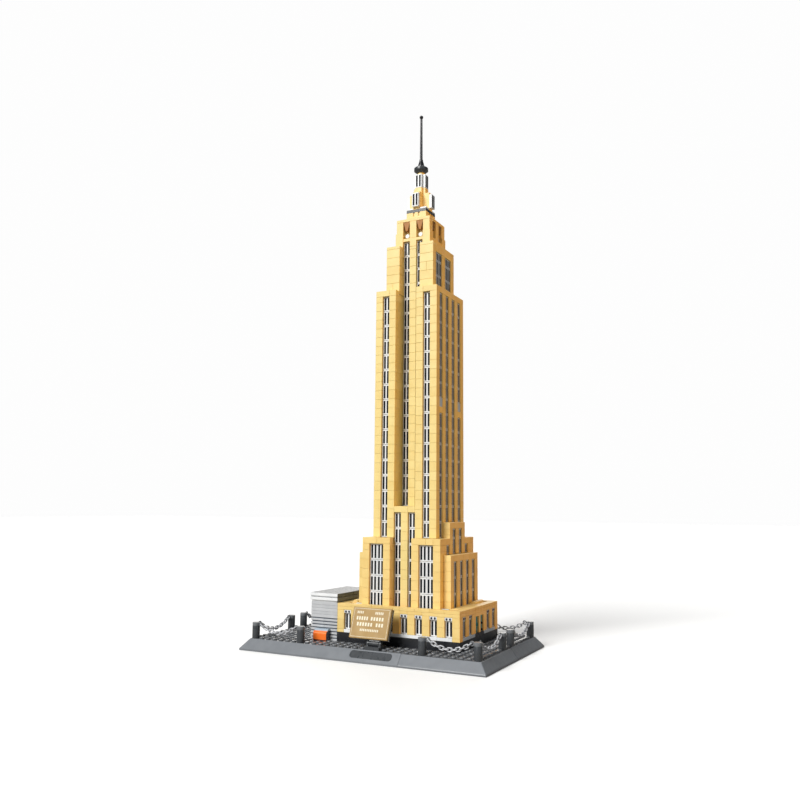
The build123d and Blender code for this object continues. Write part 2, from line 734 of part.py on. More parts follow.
with BuildPart() as low_windows:
    for face in ("front", "back"):
        for along in (-4, -3, 3, 4):
            tile_column(face, along, 5.5, 0, 4)
        for along in (-1, 1):
            tile_column(face, along, 4.5, 0, 6)
    for face in ("left", "right"):
        for along in (-3, 3):
            tile_column(face, along, 5.5, low, 1, SHORT_TILE)
        for along in (-1, 1):
            tile_column(face, along, 5.5, low, 1)
            tile_column(face, along, 5.5, low + TILE_H, 1, SHORT_TILE)
        for along in side_strips:
            tile_column(face, along, 6.5, 0, 3)
save(low_windows, "low_windows")

# ---------------------------------------------------------------- upper tiers
TIER_WINDOW = (WING_TOP, WING_TOP + 2 * TILE_H + BRICK)
with BuildPart() as upper_tier:
    for side in (-1, 1):
        tower(sorted((side * 3.5, side * 1.5)), (-3.5, 3.5), (WING_TOP, TIER_TOP))
    for face in ("left", "right"):
        for along in (-1.5, 1.5):
            channel(face, along, 3.5, TIER_WINDOW, 2.0)
save(upper_tier, "upper_tier")

CROWN_FOOT = TIER_TOP + BRICK
CROWN_HEAD = CROWN_TOP - PLATE
SHOULDER_TOP = TIER_TOP + 5 * PLATE
SHOULDER = 0.1              # studs that the crown's corner feet stand out
CORNERS = [(x, y) for x in (-1, 1) for y in (-1, 1)]
with BuildPart() as crown_base:
    tower((-2.5, 2.5), (-2.5, 2.5), (TIER_TOP, CROWN_FOOT))
    for x, y in CORNERS:
        reach = 2.5 + SHOULDER
        tower(sorted((x * 1.5, x * reach)), sorted((y * 1.5, y * reach)), (TIER_TOP, SHOULDER_TOP))
    for face in ("front", "back"):
        for along in (-1, 1):
            channel(face, along, 2.5, (TIER_TOP, TIER_TOP + HEADER))
save(crown_base, "crown_base")

with BuildPart() as crown_piers:
    tower((-1.5, 1.5), (-1.5, 1.5), (CROWN_FOOT, CROWN_HEAD))
    for x, y in CORNERS:
        tower(sorted((x * 1.5, x * 2.5)), sorted((y * 1.5, y * 2.5)), (SHOULDER_TOP, CROWN_HEAD))
    for side in (-1, 1):
        tower((-0.5, 0.5), sorted((side * 1.5, side * 2.5)), (CROWN_FOOT, CROWN_HEAD))
        tower(sorted((side * 1.5, side * 2.5)), (-0.5, 0.5), (CROWN_FOOT, CROWN_HEAD))
save(crown_piers, "crown_piers")

HOPPER_FOOT = CROWN_FOOT + 9.0
HOPPER_DEPTH = PITCH - 1.0
with BuildPart() as crown_hoppers:
    for face in TURN:
        for along in (-1, 1):
            plane = face_plane(face)
            low_at = plane.from_local_coords(Vector(along * PITCH, -2.0 * PITCH, DECK + HOPPER_FOOT))
            top_at = plane.from_local_coords(Vector(along * PITCH, -2.0 * PITCH, DECK + CROWN_HEAD))
            with BuildSketch(Plane(origin=low_at, x_dir=plane.x_dir, z_dir=(0, 0, 1))):
                Rectangle(2.4, HOPPER_DEPTH)
            with BuildSketch(Plane(origin=top_at, x_dir=plane.x_dir, z_dir=(0, 0, 1))):
                Rectangle(PITCH - GAP, HOPPER_DEPTH)
            loft()
save(crown_hoppers, "crown_hoppers")

BUTTON_R = 2.3
BUTTON_L = 5.6
with BuildPart() as crown_buttons:
    for face in TURN:
        for along in (-1, 1):
            plane = face_plane(face)
            root = plane.from_local_coords(Vector(along * PITCH, -1.5 * PITCH, DECK + CROWN_FOOT + 3.6))
            with BuildSketch(Plane(origin=root, x_dir=plane.x_dir, z_dir=-plane.y_dir)):
                Circle(BUTTON_R)
            extrude(amount=BUTTON_L)
save(crown_buttons, "crown_buttons")

with BuildPart() as crown_cap:
    tower((-2.5, 2.5), (-2.5, 2.5), (CROWN_HEAD, CROWN_TOP))
save(crown_cap, "crown_cap")

NOTCH = (2.0, 1.2, 4.4)     # width, depth and height of the lantern's small openings
with BuildPart() as lantern_block:
    tower((-1.5, 1.5), (-1.5, 1.5), (CROWN_TOP, LANTERN_TOP))
    for face in TURN:
        for along in (-3.0, 3.0):
            centre = face_plane(face).from_local_coords(
                Vector(along, -1.5 * PITCH + NOTCH[1] / 2, DECK + LANTERN_TOP - NOTCH[2] / 2)
            )
            with Locations(Location(centre, (0, 0, TURN[face]))):
                Box(*NOTCH, mode=Mode.SUBTRACT)
save(lantern_block, "lantern_block")

with BuildPart() as lantern_plate:
    tower((-1.5, 1.5), (-1.5, 1.5), (LANTERN_TOP, SPIRE_FOOT))
save(lantern_plate, "lantern_plate")

# ---------------------------------------------------------------- spire
ARM_TOP = SPIRE_FOOT + 20.8
LOWER_TILE = 2.4            # feet of the two rows of tiles, above the spire's foot
UPPER_TILE = 27.2
TILE_BACK = TILE_T / PITCH  # a tile's thickness in studs

with BuildPart() as spire_core:
    tower((-0.5, 0.5), (-0.5, 0.5), (SPIRE_FOOT, SPIRE_TOP - PLATE))
    with Locations((CENTRE_X, 0, DECK + SPIRE_TOP - PLATE / 2)):
        Cylinder(PITCH / 2, PLATE)
    with Locations((CENTRE_X, 0, DECK + SPIRE_TOP + STUD_H / 2)):
        Cylinder(STUD_D / 2, STUD_H)
save(spire_core, "spire_core")

with BuildPart() as spire_arms:
    for sign in (-1, 1):
        tower(sorted((sign * 0.5, sign * 1.5)), (-0.5, 0.5), (SPIRE_FOOT, ARM_TOP))
        tower((-0.5, 0.5), sorted((sign * 0.5, sign * 1.5)), (SPIRE_FOOT, ARM_TOP))
        tower(sorted((sign * 0.5, sign * 0.9)), (-0.5, 0.5), (ARM_TOP, SPIRE_FOOT + UPPER_TILE))
        tower((-0.5, 0.5), sorted((sign * 0.5, sign * 0.9)), (ARM_TOP, SPIRE_FOOT + UPPER_TILE))
save(spire_arms, "spire_arms")

with BuildPart() as spire_tiles:
    for face in TURN:
        recess = FRONT_RECESS if face in ("front", "back") else SIDE_RECESS
        proud = TILE_BACK + recess / PITCH
        tile_column(face, 0, 1.5 + proud, SPIRE_FOOT + LOWER_TILE, 1)
        tile_column(face, 0, 0.5 + proud, SPIRE_FOOT + UPPER_TILE, 1)
    for x in (-1, 1):
        for y in (-1, 1):
            middle = (CENTRE_X + x * PITCH, y * PITCH, DECK + SPIRE_FOOT + 1.0)
            with Locations(middle):
                Box(PITCH - GAP, PITCH - GAP, 2.0)
save(spire_tiles, "spire_tiles")

LIFT = 0.1                  # axial play under a piece that spins
dish_foot = DECK + SPIRE_TOP + LIFT
dish_top = DECK + SPIRE_TOP + DISH_H
SOCKET_R = 1.6
with BuildPart() as dish:
    with BuildSketch(Plane.XZ) as dish_half:
        with BuildLine():
            Polyline(
                (STUD_D / 2 + RUN, dish_foot),
                (5.0, dish_foot),
                (PITCH, dish_foot + 2.6),
                (PITCH, dish_top - 0.8),
                (PITCH - 0.8, dish_top),
                (SOCKET_R, dish_top),
                (SOCKET_R, dish_foot + 3.4),
                (0, dish_foot + 3.4),
                (0, dish_foot + STUD_H + 0.2),
                (STUD_D / 2 + RUN, dish_foot + STUD_H + 0.2),
                close=True,
            )
        make_face()
    revolve(axis=Axis.Z)
dish.part.locate(Location((CENTRE_X, 0, 0)))
save(dish, "dish")

mast_foot = dish_top + LIFT
with BuildPart() as mast:
    with BuildSketch(Plane.XZ) as mast_half:
        with BuildLine():
            Polyline(
                (0, mast_foot - 2.4),
                (SOCKET_R - RUN, mast_foot - 2.4),
                (SOCKET_R - RUN, mast_foot),
                (PITCH / 2, mast_foot),
                (PITCH / 2, mast_foot + 1.6),
                (TIP_R, mast_foot + CONE_H - 1.2),
                (TIP_R, mast_foot + CONE_H),
                (ROD_FOOT_R, mast_foot + CONE_H),
                (ROD_HEAD_R, dish_top + CONE_H + MAST_H - 1.0),
                (0, dish_top + CONE_H + MAST_H - 1.0),
                close=True,
            )
        make_face()
    revolve(axis=Axis.Z)
    with Locations((0, 0, dish_top + CONE_H + MAST_H - TIP_R)):
        Sphere(TIP_R)
mast.part.locate(Location((CENTRE_X, 0, 0)))
save(mast, "mast")
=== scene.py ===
# %% [markdown]
# # A brick-built skyscraper on a studded base
# The real object clips together from small moulded bricks. The imported frame gives every
# node in its place, so this lesson adds what the hand would notice: single bricks with
# rounded edges, slotted window tiles, studs with a painted highlight, and plastic that is
# never quite even.

# %% Load the frame
import json
import math
import random

import bmesh
import bpy
from mathutils import Euler, Matrix, Vector

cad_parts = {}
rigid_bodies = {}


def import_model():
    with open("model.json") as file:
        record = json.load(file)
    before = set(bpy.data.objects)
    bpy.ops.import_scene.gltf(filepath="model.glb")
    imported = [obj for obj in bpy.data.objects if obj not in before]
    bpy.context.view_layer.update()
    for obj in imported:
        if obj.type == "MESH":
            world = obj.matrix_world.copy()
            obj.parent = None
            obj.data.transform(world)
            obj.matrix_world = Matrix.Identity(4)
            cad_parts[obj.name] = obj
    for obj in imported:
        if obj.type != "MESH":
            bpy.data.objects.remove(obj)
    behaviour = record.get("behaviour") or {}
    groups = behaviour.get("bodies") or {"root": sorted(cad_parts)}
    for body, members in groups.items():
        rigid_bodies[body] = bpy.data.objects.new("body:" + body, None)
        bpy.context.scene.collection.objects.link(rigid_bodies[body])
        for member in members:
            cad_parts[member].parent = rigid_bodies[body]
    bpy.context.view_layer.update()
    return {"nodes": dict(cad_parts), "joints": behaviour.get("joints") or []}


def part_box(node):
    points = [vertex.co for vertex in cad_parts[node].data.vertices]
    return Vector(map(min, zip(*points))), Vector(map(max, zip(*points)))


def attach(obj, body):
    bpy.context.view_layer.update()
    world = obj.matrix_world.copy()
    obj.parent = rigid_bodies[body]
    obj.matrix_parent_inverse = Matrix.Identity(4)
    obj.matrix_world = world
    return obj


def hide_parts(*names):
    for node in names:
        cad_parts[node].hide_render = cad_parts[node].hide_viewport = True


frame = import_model()
print("nodes loaded:", len(frame["nodes"]))

# %% [markdown]
# ## Measures
# Everything on this object follows one grid: studs 8 mm apart and plates 3.2 mm high.
# The tower's axis and the roof that it stands on are read from the frame, so the bricks
# below land exactly on the walls that they stand for.

# %% The grid, in metres
PITCH = 0.008
PLATE = 0.0032
BRICK = 3 * PLATE
GAP = 0.0001          # moulding gap between two bricks
EDGE = 0.00022        # rounding of a brick's edges
FINE = 0.0002         # rounding of small moulded parts
SOFT = 0.0003         # rounding of larger parts
CLOSE = 0.01          # studs, less than this counts as nothing
BODY = "building"


def low(node):
    """A node's lowest corner."""
    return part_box(node)[0]


def high(node):
    """A node's highest corner."""
    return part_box(node)[1]


AXIS_X = (low("shaft_centre").x + high("shaft_centre").x) / 2
DECK = high("podium_deck").z
print("tower axis at", round(AXIS_X, 4), "roof of the podium at", round(DECK, 4))

# %% [markdown]
# ## Plastic
# Moulded plastic looks flat when it has one colour. Real bricks differ a little from each
# other, have a faint ripple from the mould, and are rubbed duller in places. One function
# makes every finish: a noise and a per-brick tint choose between two colours, a second
# noise drives the roughness, and a fine one gives the ripple.

# %% One function for all plastics
PATCHES = 90.0        # scale of the uneven colour
WEAR = 260.0          # scale of the rubbed places
RIPPLES = 700.0       # scale of the ripple from the mould
RIPPLE_DEPTH = 0.0002


def noise(tree, scale, detail=2.0, squeeze=(1, 1, 1)):
    """A noise on object coordinates, and its value from 0 to 1."""
    coordinates = tree.nodes.new("ShaderNodeTexCoord")
    mapping = tree.nodes.new("ShaderNodeMapping")
    texture = tree.nodes.new("ShaderNodeTexNoise")
    mapping.inputs["Scale"].default_value = squeeze
    texture.inputs["Scale"].default_value = scale
    texture.inputs["Detail"].default_value = detail
    tree.links.new(coordinates.outputs["Object"], mapping.inputs["Vector"])
    tree.links.new(mapping.outputs["Vector"], texture.inputs["Vector"])
    return texture.outputs["Fac"]


def fit_range(tree, value, lowest, highest, span=(0.3, 0.7)):
    """Stretch a value from span to the range lowest to highest."""
    node = tree.nodes.new("ShaderNodeMapRange")
    node.inputs["From Min"].default_value = span[0]
    node.inputs["From Max"].default_value = span[1]
    node.inputs["To Min"].default_value = lowest
    node.inputs["To Max"].default_value = highest
    tree.links.new(value, node.inputs["Value"])
    return node.outputs["Result"]


def plastic(name, light, dark, rough=0.3, ripple=0.05, mottle=0.35, coat=0.1):
    """Moulded plastic between two colours."""
    material = bpy.data.materials.new(name)
    material.use_nodes = True
    tree = material.node_tree
    shader = tree.nodes["Principled BSDF"]
    tint = tree.nodes.new("ShaderNodeAttribute")
    tint.attribute_name = "tint"
    patches = fit_range(tree, noise(tree, PATCHES, 3.0), 0.0, mottle)
    amount = tree.nodes.new("ShaderNodeMath")
    amount.operation = "ADD"
    amount.use_clamp = True
    tree.links.new(patches, amount.inputs[0])
    tree.links.new(tint.outputs["Fac"], amount.inputs[1])
    colour = tree.nodes.new("ShaderNodeMix")
    colour.data_type = "RGBA"
    colour.inputs["A"].default_value = (*light, 1)
    colour.inputs["B"].default_value = (*dark, 1)
    tree.links.new(amount.outputs["Value"], colour.inputs["Factor"])
    tree.links.new(colour.outputs["Result"], shader.inputs["Base Color"])
    streaks = noise(tree, WEAR, 4.0, (1, 1, 0.4))
    rubbed = fit_range(tree, streaks, rough - 0.06, rough + 0.1)
    tree.links.new(rubbed, shader.inputs["Roughness"])
    bump = tree.nodes.new("ShaderNodeBump")
    bump.inputs["Strength"].default_value = ripple
    bump.inputs["Distance"].default_value = RIPPLE_DEPTH
    tree.links.new(noise(tree, RIPPLES, 2.0), bump.inputs["Height"])
    tree.links.new(bump.outputs["Normal"], shader.inputs["Normal"])
    shader.inputs["Coat Weight"].default_value = coat
    shader.inputs["Coat Roughness"].default_value = 0.2
    return material


# %% The finishes of this object
TAN = plastic("tan_plastic", (0.82, 0.63, 0.255), (0.70, 0.49, 0.155), 0.40)
PALE_TAN = plastic("pale_tan_plastic", (0.82, 0.67, 0.285), (0.71, 0.53, 0.178), 0.40)
DECK_TAN = plastic("deck_plastic", (0.80, 0.26, 0.035), (0.62, 0.18, 0.02), 0.36)
BORDER = plastic("border_plastic", (0.195, 0.208, 0.228), (0.14, 0.15, 0.166), 0.34)
DARK_GREY = plastic("dark_grey_plastic", (0.045, 0.05, 0.056), (0.075, 0.08, 0.09), 0.28)
PALE_GREY = plastic("pale_grey_plastic", (0.58, 0.59, 0.61), (0.43, 0.44, 0.46), 0.34)
CAP_GREY = plastic("cap_plastic", (0.17, 0.18, 0.195), (0.10, 0.107, 0.118), 0.26)
WHITE = plastic("white_plastic", (0.84, 0.85, 0.86), (0.70, 0.72, 0.74), 0.32)
TEAL = plastic("teal_plastic", (0.0, 0.42, 0.44), (0.0, 0.32, 0.35), 0.3)
ORANGE = plastic("orange_plastic", (0.92, 0.19, 0.02), (0.74, 0.11, 0.01), 0.34)
# navy: painted shade on the kiosk's right side
KIOSK_SIDE_SHADE = plastic("kiosk_side_painted_shade", (0.02, 0.035, 0.07), (0.03, 0.05, 0.09), 0.3)
PALE_BLUE = plastic("pale_blue_plastic", (0.46, 0.58, 0.68), (0.36, 0.47, 0.57), 0.27)
# dark slate: the joints between the annex ribs, and painted shade on the annex's right side
SLATE_JOINTS_AND_SHADE = plastic("slate_joint_and_shade_paint", (0.10, 0.118, 0.145), (0.06, 0.074, 0.095), 0.3)
# mid grey: painted shade on the top of the pale roof plates
ROOF_TOP_SHADE = plastic("roof_top_painted_shade", (0.155, 0.17, 0.195), (0.10, 0.112, 0.13), 0.3)
PLATE_BLACK = plastic("plate_plastic", (0.010, 0.011, 0.014), (0.022, 0.024, 0.029), 0.3)
BLACK = plastic(
    "black_plastic", (0.010, 0.011, 0.014), (0.022, 0.023, 0.028), rough=0.3, ripple=0.04)
# studs: a grey lighter than the black plate, a painted highlight
STUD_HIGHLIGHT_GREY = plastic(
    "stud_painted_highlight", (0.19, 0.197, 0.21), (0.10, 0.106, 0.117),
    rough=0.18, ripple=0.04, mottle=0.4, coat=0.4)
CHAIN_GREY = plastic(
    "chain_plastic", (0.52, 0.53, 0.56), (0.30, 0.31, 0.34),
    rough=0.26, ripple=0.1, mottle=0.6, coat=0.3)
# near-black: painted shade in the slots of the tiles, and the dark round marks of the head pieces
SLOT_SHADE_AND_MARKS = plastic(
    "slot_shade_and_mark_paint", (0.004, 0.006, 0.014), (0.012, 0.015, 0.026),
    rough=0.5, ripple=0.03, mottle=0.3, coat=0.0)
BROWN = plastic(
    "brown_plastic", (0.46, 0.19, 0.04), (0.32, 0.12, 0.022),
    rough=0.6, ripple=0.05, mottle=0.4, coat=0.0)
SIGN_TAN = plastic(
    "sign_plastic", (0.40, 0.25, 0.075), (0.33, 0.195, 0.055),
    rough=0.5, ripple=0.04, mottle=0.8, coat=0.0)
PRINT = plastic(
    "print_ink", (0.78, 0.72, 0.55), (0.68, 0.61, 0.44),
    rough=0.5, ripple=0.03, mottle=0.4, coat=0.0)
print("tan is made of", len(TAN.node_tree.nodes), "shader nodes")

# %% [markdown]
# ## Helpers for pieces
# A piece is one bmesh: boxes are added to it with create_cube, then one bevel rounds all
# of their edges together, which is much faster than a bevel for each brick. A face layer
# called tint stores a small random value for each brick, and the bevel carries it along.

# %% Boxes, bevels and finished pieces
draw = random.Random(31)


def start():
    """An empty bmesh with the tint layer."""
    mesh = bmesh.new()
    mesh.faces.layers.float.new("tint")
    return mesh


def faces_of(made):
    """The faces around the vertices that an operator returned."""
    return {face for vert in made["verts"] for face in vert.link_faces}


def add_box(mesh, lowest, highest, tint=0.0, gap=GAP):
    """One box between two corners, smaller by the moulding gap."""
    lowest = Vector(lowest)
    highest = Vector(highest)
    size = highest - lowest - Vector((gap, gap, gap))
    place = Matrix.Translation((lowest + highest) / 2) @ Matrix.Diagonal((*size, 1))
    made = bmesh.ops.create_cube(mesh, size=1.0, matrix=place)
    layer = mesh.faces.layers.float["tint"]
    for face in faces_of(made):
        face[layer] = tint


def round_some(mesh, edges, width, segments=1):
    """Bevel the given edges."""
    bmesh.ops.bevel(
        mesh, geom=list(edges), offset=width, affect="EDGES",
        segments=segments, profile=0.5, material=-1,
    )


def round_edges(mesh, width=EDGE, segments=1):
    """Bevel every edge of the mesh."""
    round_some(mesh, mesh.edges, width, segments)


def paint_from(mesh, first, number):
    """Give every face from the first one on the material with this number."""
    mesh.faces.ensure_lookup_table()
    for face in mesh.faces[first:]:
        face.material_index = number


def to_data(mesh, name):
    """Turn a bmesh into mesh data, for an object or as a template to stamp."""
    data = bpy.data.meshes.new(name)
    mesh.to_mesh(data)
    mesh.free()
    return data


def piece(mesh, name, materials, body=BODY, nodes=()):
    """Turn a bmesh into a named piece that rides on a body and stands for CAD nodes."""
    data = to_data(mesh, name)
    for material in materials:
        data.materials.append(material)
    made = bpy.data.objects.new(name, data)
    bpy.context.scene.collection.objects.link(made)
    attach(made, body)
    if nodes:
        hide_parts(*nodes)
    print(name, len(data.polygons), "faces")
    return made


def stamp(mesh, template, place, tint=0.0):
    """Add a moved copy of a template mesh."""
    first = len(mesh.faces)
    copy = template.copy()
    copy.transform(place)
    mesh.from_mesh(copy)
    bpy.data.meshes.remove(copy)
    mesh.faces.ensure_lookup_table()
    layer = mesh.faces.layers.float["tint"]
    for number in range(first, len(mesh.faces)):
        mesh.faces[number][layer] = tint


def lengths(total):
    """Split a run of studs into bricks of one to four studs."""
    pieces = []
    left = total
    while left > CLOSE:
        step = min(draw.choice((1, 2, 2, 3, 4)), left)
        pieces.append(step)
        left -= step
    return pieces


def lay(mesh, x, y, z, along="x", course=BRICK, spread=0.35):
    """Fill a box (x and y in studs from the tower's axis, z above the deck) with bricks."""
    run, rows = (x, y) if along == "x" else (y, x)
    thick = rows[1] - rows[0]
    foot = z[0]
    while foot < z[1] - GAP:
        head = min(foot + course, z[1])
        row = rows[0]
        while row < rows[1] - CLOSE:
            # up to two studs is one brick deep, a thicker block is laid in single rows
            depth = min(1.0, rows[1] - row) if thick > 2 + CLOSE else thick
            at = run[0]
            for length in lengths(run[1] - run[0]):
                first, last = (at, row), (at + length, row + depth)
                if along == "y":
                    first, last = first[::-1], last[::-1]
                add_box(
                    mesh,
                    (AXIS_X + first[0] * PITCH, first[1] * PITCH, DECK + foot),
                    (AXIS_X + last[0] * PITCH, last[1] * PITCH, DECK + head),
                    draw.uniform(0.0, spread),
                )
                at += length
            row += depth
        foot = head


def solid(mesh, x, y, z):
    """One plain box in the same measures, as for what lies behind the bricks."""
    add_box(
        mesh,
        (AXIS_X + x[0] * PITCH, y[0] * PITCH, DECK + z[0]),
        (AXIS_X + x[1] * PITCH, y[1] * PITCH, DECK + z[1]),
        0.5,
    )


def both(side, pair):
    """A range of studs on one side of the axis, or its mirror image."""
    return tuple(sorted((side * pair[0], side * pair[1])))


# %% [markdown]
# ## The tower
# The shaft is a bundle of piers one stud wide with window channels between them. Each pier
# is a column of bricks, and a darker block behind closes the joints. All bare numbers in
# the calls of lay and solid are studs from the tower's axis, and both() mirrors a range
# to the other side, so the whole tower comes from a few ranges.

# %% Heights, read from the frame
def above(value):
    """Height above the deck."""
    return round(value - DECK, 5)


CORNER_TOP = above(high("corner_blocks").z)
SIDE_LOW = above(high("side_blocks").z) - 10 * PLATE
SIDE_MID = above(high("side_blocks").z)
CENTRE_LOW = above(high("centre_low_walls").z)
WING_TOP = above(high("shaft_right_wing").z)
TIER_TOP = above(high("upper_tier").z)
HEADER = 2 * PLATE
TILE_H = 2 * PITCH
FRONT_BACK = 0.75     # studs from a front wall to the backs of its tiles
SIDE_BACK = 0.55      # the same on the sides
UNDER_ROOF = 1.2 * PLATE
BELT_ROW = 8          # a belt of bricks takes the place of this tile on the sides
BELT = CORNER_TOP + BELT_ROW * TILE_H
print("corner", CORNER_TOP, "wing", WING_TOP, "tier", TIER_TOP)

# %% The two wings of the shaft
for side, name in ((-1, "shaft_left_wing"), (1, "shaft_right_wing")):
    mesh = start()
    top = WING_TOP - HEADER
    for face in (-1, 1):
        lay(mesh, both(side, (1.5, 2.5)), both(face, (2.5, 4.5)), (CORNER_TOP, top), "y")
        lay(mesh, both(side, (3.5, 4.5)), both(face, (3.5, 4.5)), (CORNER_TOP, top))
        lay(mesh, both(side, (3.5, 4.5)), both(face, (1.5, 2.5)), (CORNER_TOP, top))
        lay(mesh, both(side, (1.5, 4.5)), both(face, (3.5, 4.5)), (top, WING_TOP), "x")
        lay(mesh, both(side, (3.9, 4.5)), both(face, (2.5, 3.5)), (BELT, BELT + HEADER))
    lay(mesh, both(side, (3.5, 4.5)), (-0.5, 0.5), (SIDE_MID, top))
    lay(mesh, both(side, (3.5, 4.5)), (-3.5, 3.5), (top, WING_TOP), "y")
    lay(mesh, both(side, (1.5, 3.5)), (-3.5, 3.5), (WING_TOP - PLATE, WING_TOP), "y", PLATE)
    round_edges(mesh)
    inner = (1.52, 4.5 - SIDE_BACK)
    reach = 4.5 - FRONT_BACK
    solid(mesh, both(side, inner), (-reach, reach), (0, WING_TOP - UNDER_ROOF))
    piece(mesh, name + "_bricks", [PALE_TAN], nodes=(name,))

# %% The recessed centre
mesh = start()
for face in (-1, 1):
    lay(mesh, (-0.5, 0.5), both(face, (1.5, 2.5)), (CENTRE_LOW, TIER_TOP))
solid(mesh, (-1.5, 1.5), (-2.5 + FRONT_BACK, 2.5 - FRONT_BACK), (0, TIER_TOP))
round_edges(mesh)
piece(mesh, "shaft_centre_bricks", [PALE_TAN], nodes=("shaft_centre",))

# %% The low walls in front of the centre
mesh = start()
for face in (-1, 1):
    top = CENTRE_LOW - HEADER
    lay(mesh, (-0.5, 0.5), both(face, (3.5, 4.5)), (0, top))
    lay(mesh, (-1.5, 1.5), both(face, (3.5, 4.5)), (top, CENTRE_LOW), "x")
    lay(mesh, (-1.5, 1.5), both(face, (2.5, 3.5)), (CENTRE_LOW - PLATE, CENTRE_LOW), "x", PLATE)
    solid(mesh, (-1.5, 1.5), both(face, (2.5, 4.5 - FRONT_BACK)), (0, CENTRE_LOW - UNDER_ROOF))
round_edges(mesh)
piece(mesh, "centre_low_bricks", [PALE_TAN], nodes=("centre_low_walls",))

# %% The corner blocks at the foot
mesh = start()
top = CORNER_TOP - HEADER
for side in (-1, 1):
    for face in (-1, 1):
        lay(mesh, both(side, (1.5, 2.5)), both(face, (4.5, 5.5)), (0, top))
        lay(mesh, both(side, (4.5, 5.5)), both(face, (3.5, 5.5)), (0, top), "y")
        lay(mesh, both(side, (1.5, 5.5)), both(face, (4.5, 5.5)), (top, CORNER_TOP), "x")
        lay(mesh, both(side, (4.5, 5.5)), both(face, (2.5, 4.5)), (top, CORNER_TOP), "y")
        x = both(side, (1.55, 5.45 - SIDE_BACK))
        solid(mesh, x, both(face, (3.6, 5.5 - FRONT_BACK)), (0, top))
        solid(mesh, both(side, (4.0, 5.5 - SIDE_BACK)), both(face, (2.5, 4.4)), (0, top))
round_edges(mesh)
piece(mesh, "corner_bricks", [TAN], nodes=("corner_blocks",))

# %% The blocks on the two sides
mesh = start()
for side in (-1, 1):
    top = SIDE_MID - HEADER
    for middle in (-2, 0, 2):
        lay(mesh, both(side, (4.5, 5.5)), (middle - 0.5, middle + 0.5), (SIDE_LOW, top))
    lay(mesh, both(side, (4.5, 5.5)), (-2.5, 2.5), (top, SIDE_MID), "y")
    solid(mesh, both(side, (4.5, 5.5 - SIDE_BACK)), (-2.4, 2.4), (0, top))
    top = SIDE_LOW - HEADER
    for middle in (-4, -2, 0, 2, 4):
        lay(mesh, both(side, (5.5, 6.5)), (middle - 0.5, middle + 0.5), (0, top))
    lay(mesh, both(side, (5.5, 6.5)), (-4.5, 4.5), (top, SIDE_LOW), "y")
    solid(mesh, both(side, (5.5, 6.5 - SIDE_BACK)), (-4.4, 4.4), (0, top))
round_edges(mesh)
piece(mesh, "side_bricks", [TAN], nodes=("side_blocks",))

# %% The upper tier
mesh = start()
for side in (-1, 1):
    top = TIER_TOP - BRICK
    for face in (-1, 1):
        lay(mesh, both(side, (1.5, 3.5)), both(face, (2.5, 3.5)), (WING_TOP, TIER_TOP), "x")
        lay(mesh, both(side, (1.5, 2.5)), both(face, (1.5, 2.5)), (WING_TOP, TIER_TOP))
    lay(mesh, both(side, (2.5, 3.5)), (-0.5, 0.5), (WING_TOP, top))
    lay(mesh, both(side, (2.5, 3.5)), (-2.5, 2.5), (top, TIER_TOP), "y")
    x = both(side, (1.55, 3.5 - SIDE_BACK))
    solid(mesh, x, (-2.45, 2.45), (WING_TOP, TIER_TOP - PLATE / 4))
round_edges(mesh)
piece(mesh, "upper_tier_bricks", [PALE_TAN], nodes=("upper_tier",))

# %% [markdown]
# ## Window tiles
# Each window is a white tile one stud wide with two upright slots. A cube gets a rounded
# rim, its front is cut by planes into a grid, and the two tall cells sink in with
# inset_individual. Their floors and walls take a near-black material, painted shade in the
# slots. The tile has only a few dozen faces, because it stands about four hundred times on
# the model.

# %% Make one tile
TILE_T = 0.0032
SLOT_W = 0.0022
SLOT_GAP = 0.0037
RAIL = 0.0013         # height of the solid rail above and below the slots
TILE_JOINT = 0.00015  # half of the dark line between two tiles in a column
DRAFT = 0.00004       # how much a slot narrows as it sinks
TILE_TINT = 0.3       # most that one white piece differs from another


def lies_in(part, plane):
    """True for a face or an edge in the front plane."""
    return all(abs(v.co.y - plane) < 1e-6 for v in part.verts)


def is_slot(face, height):
    """True for the two tall cells of a cut front."""
    middle = face.calc_center_median()
    return abs(abs(middle.x) - SLOT_GAP / 2) < 0.0003 and abs(middle.z - height / 2) < 0.001


def make_tile(height):
    """A tile whose back is on Y = 0 and whose foot is on Z = 0."""
    mesh = start()
    add_box(mesh, (-PITCH / 2, -TILE_T, TILE_JOINT), (PITCH / 2, 0, height - TILE_JOINT))
    plane = min(v.co.y for v in mesh.verts)
    round_some(mesh, [e for e in mesh.edges if lies_in(e, plane)], EDGE)
    cuts = []
    for slot in (-1, 1):
        for edge in (-1, 1):
            cuts.append(((slot * SLOT_GAP / 2 + edge * SLOT_W / 2, 0, 0), (1, 0, 0)))
    for z in (RAIL, height - RAIL):
        cuts.append(((0, 0, z), (0, 0, 1)))
    for point, normal in cuts:
        faces = [f for f in mesh.faces if lies_in(f, plane)]
        edges = {e for f in faces for e in f.edges}
        verts = {v for f in faces for v in f.verts}
        bmesh.ops.bisect_plane(
            mesh, geom=[*faces, *edges, *verts], plane_co=point, plane_no=normal)
    slots = [f for f in mesh.faces if lies_in(f, plane) and is_slot(f, height)]
    walls = bmesh.ops.inset_individual(mesh, faces=slots, thickness=DRAFT, depth=-TILE_T / 2)
    # material 1 is the near-black painted shade of the slots
    for face in [*slots, *walls["faces"]]:
        face.material_index = 1
    bmesh.ops.recalc_face_normals(mesh, faces=mesh.faces[:])
    return to_data(mesh, "tile_template")


TALL = make_tile(TILE_H)
SHORT = make_tile(BRICK)
print("tile faces:", len(TALL.polygons))

# %% Places on the four faces
TURN = {"front": 0.0, "right": math.pi / 2, "back": math.pi, "left": -math.pi / 2}
RECESS = {"front": 0.0028, "back": 0.0028, "right": 0.0012, "left": 0.0012}


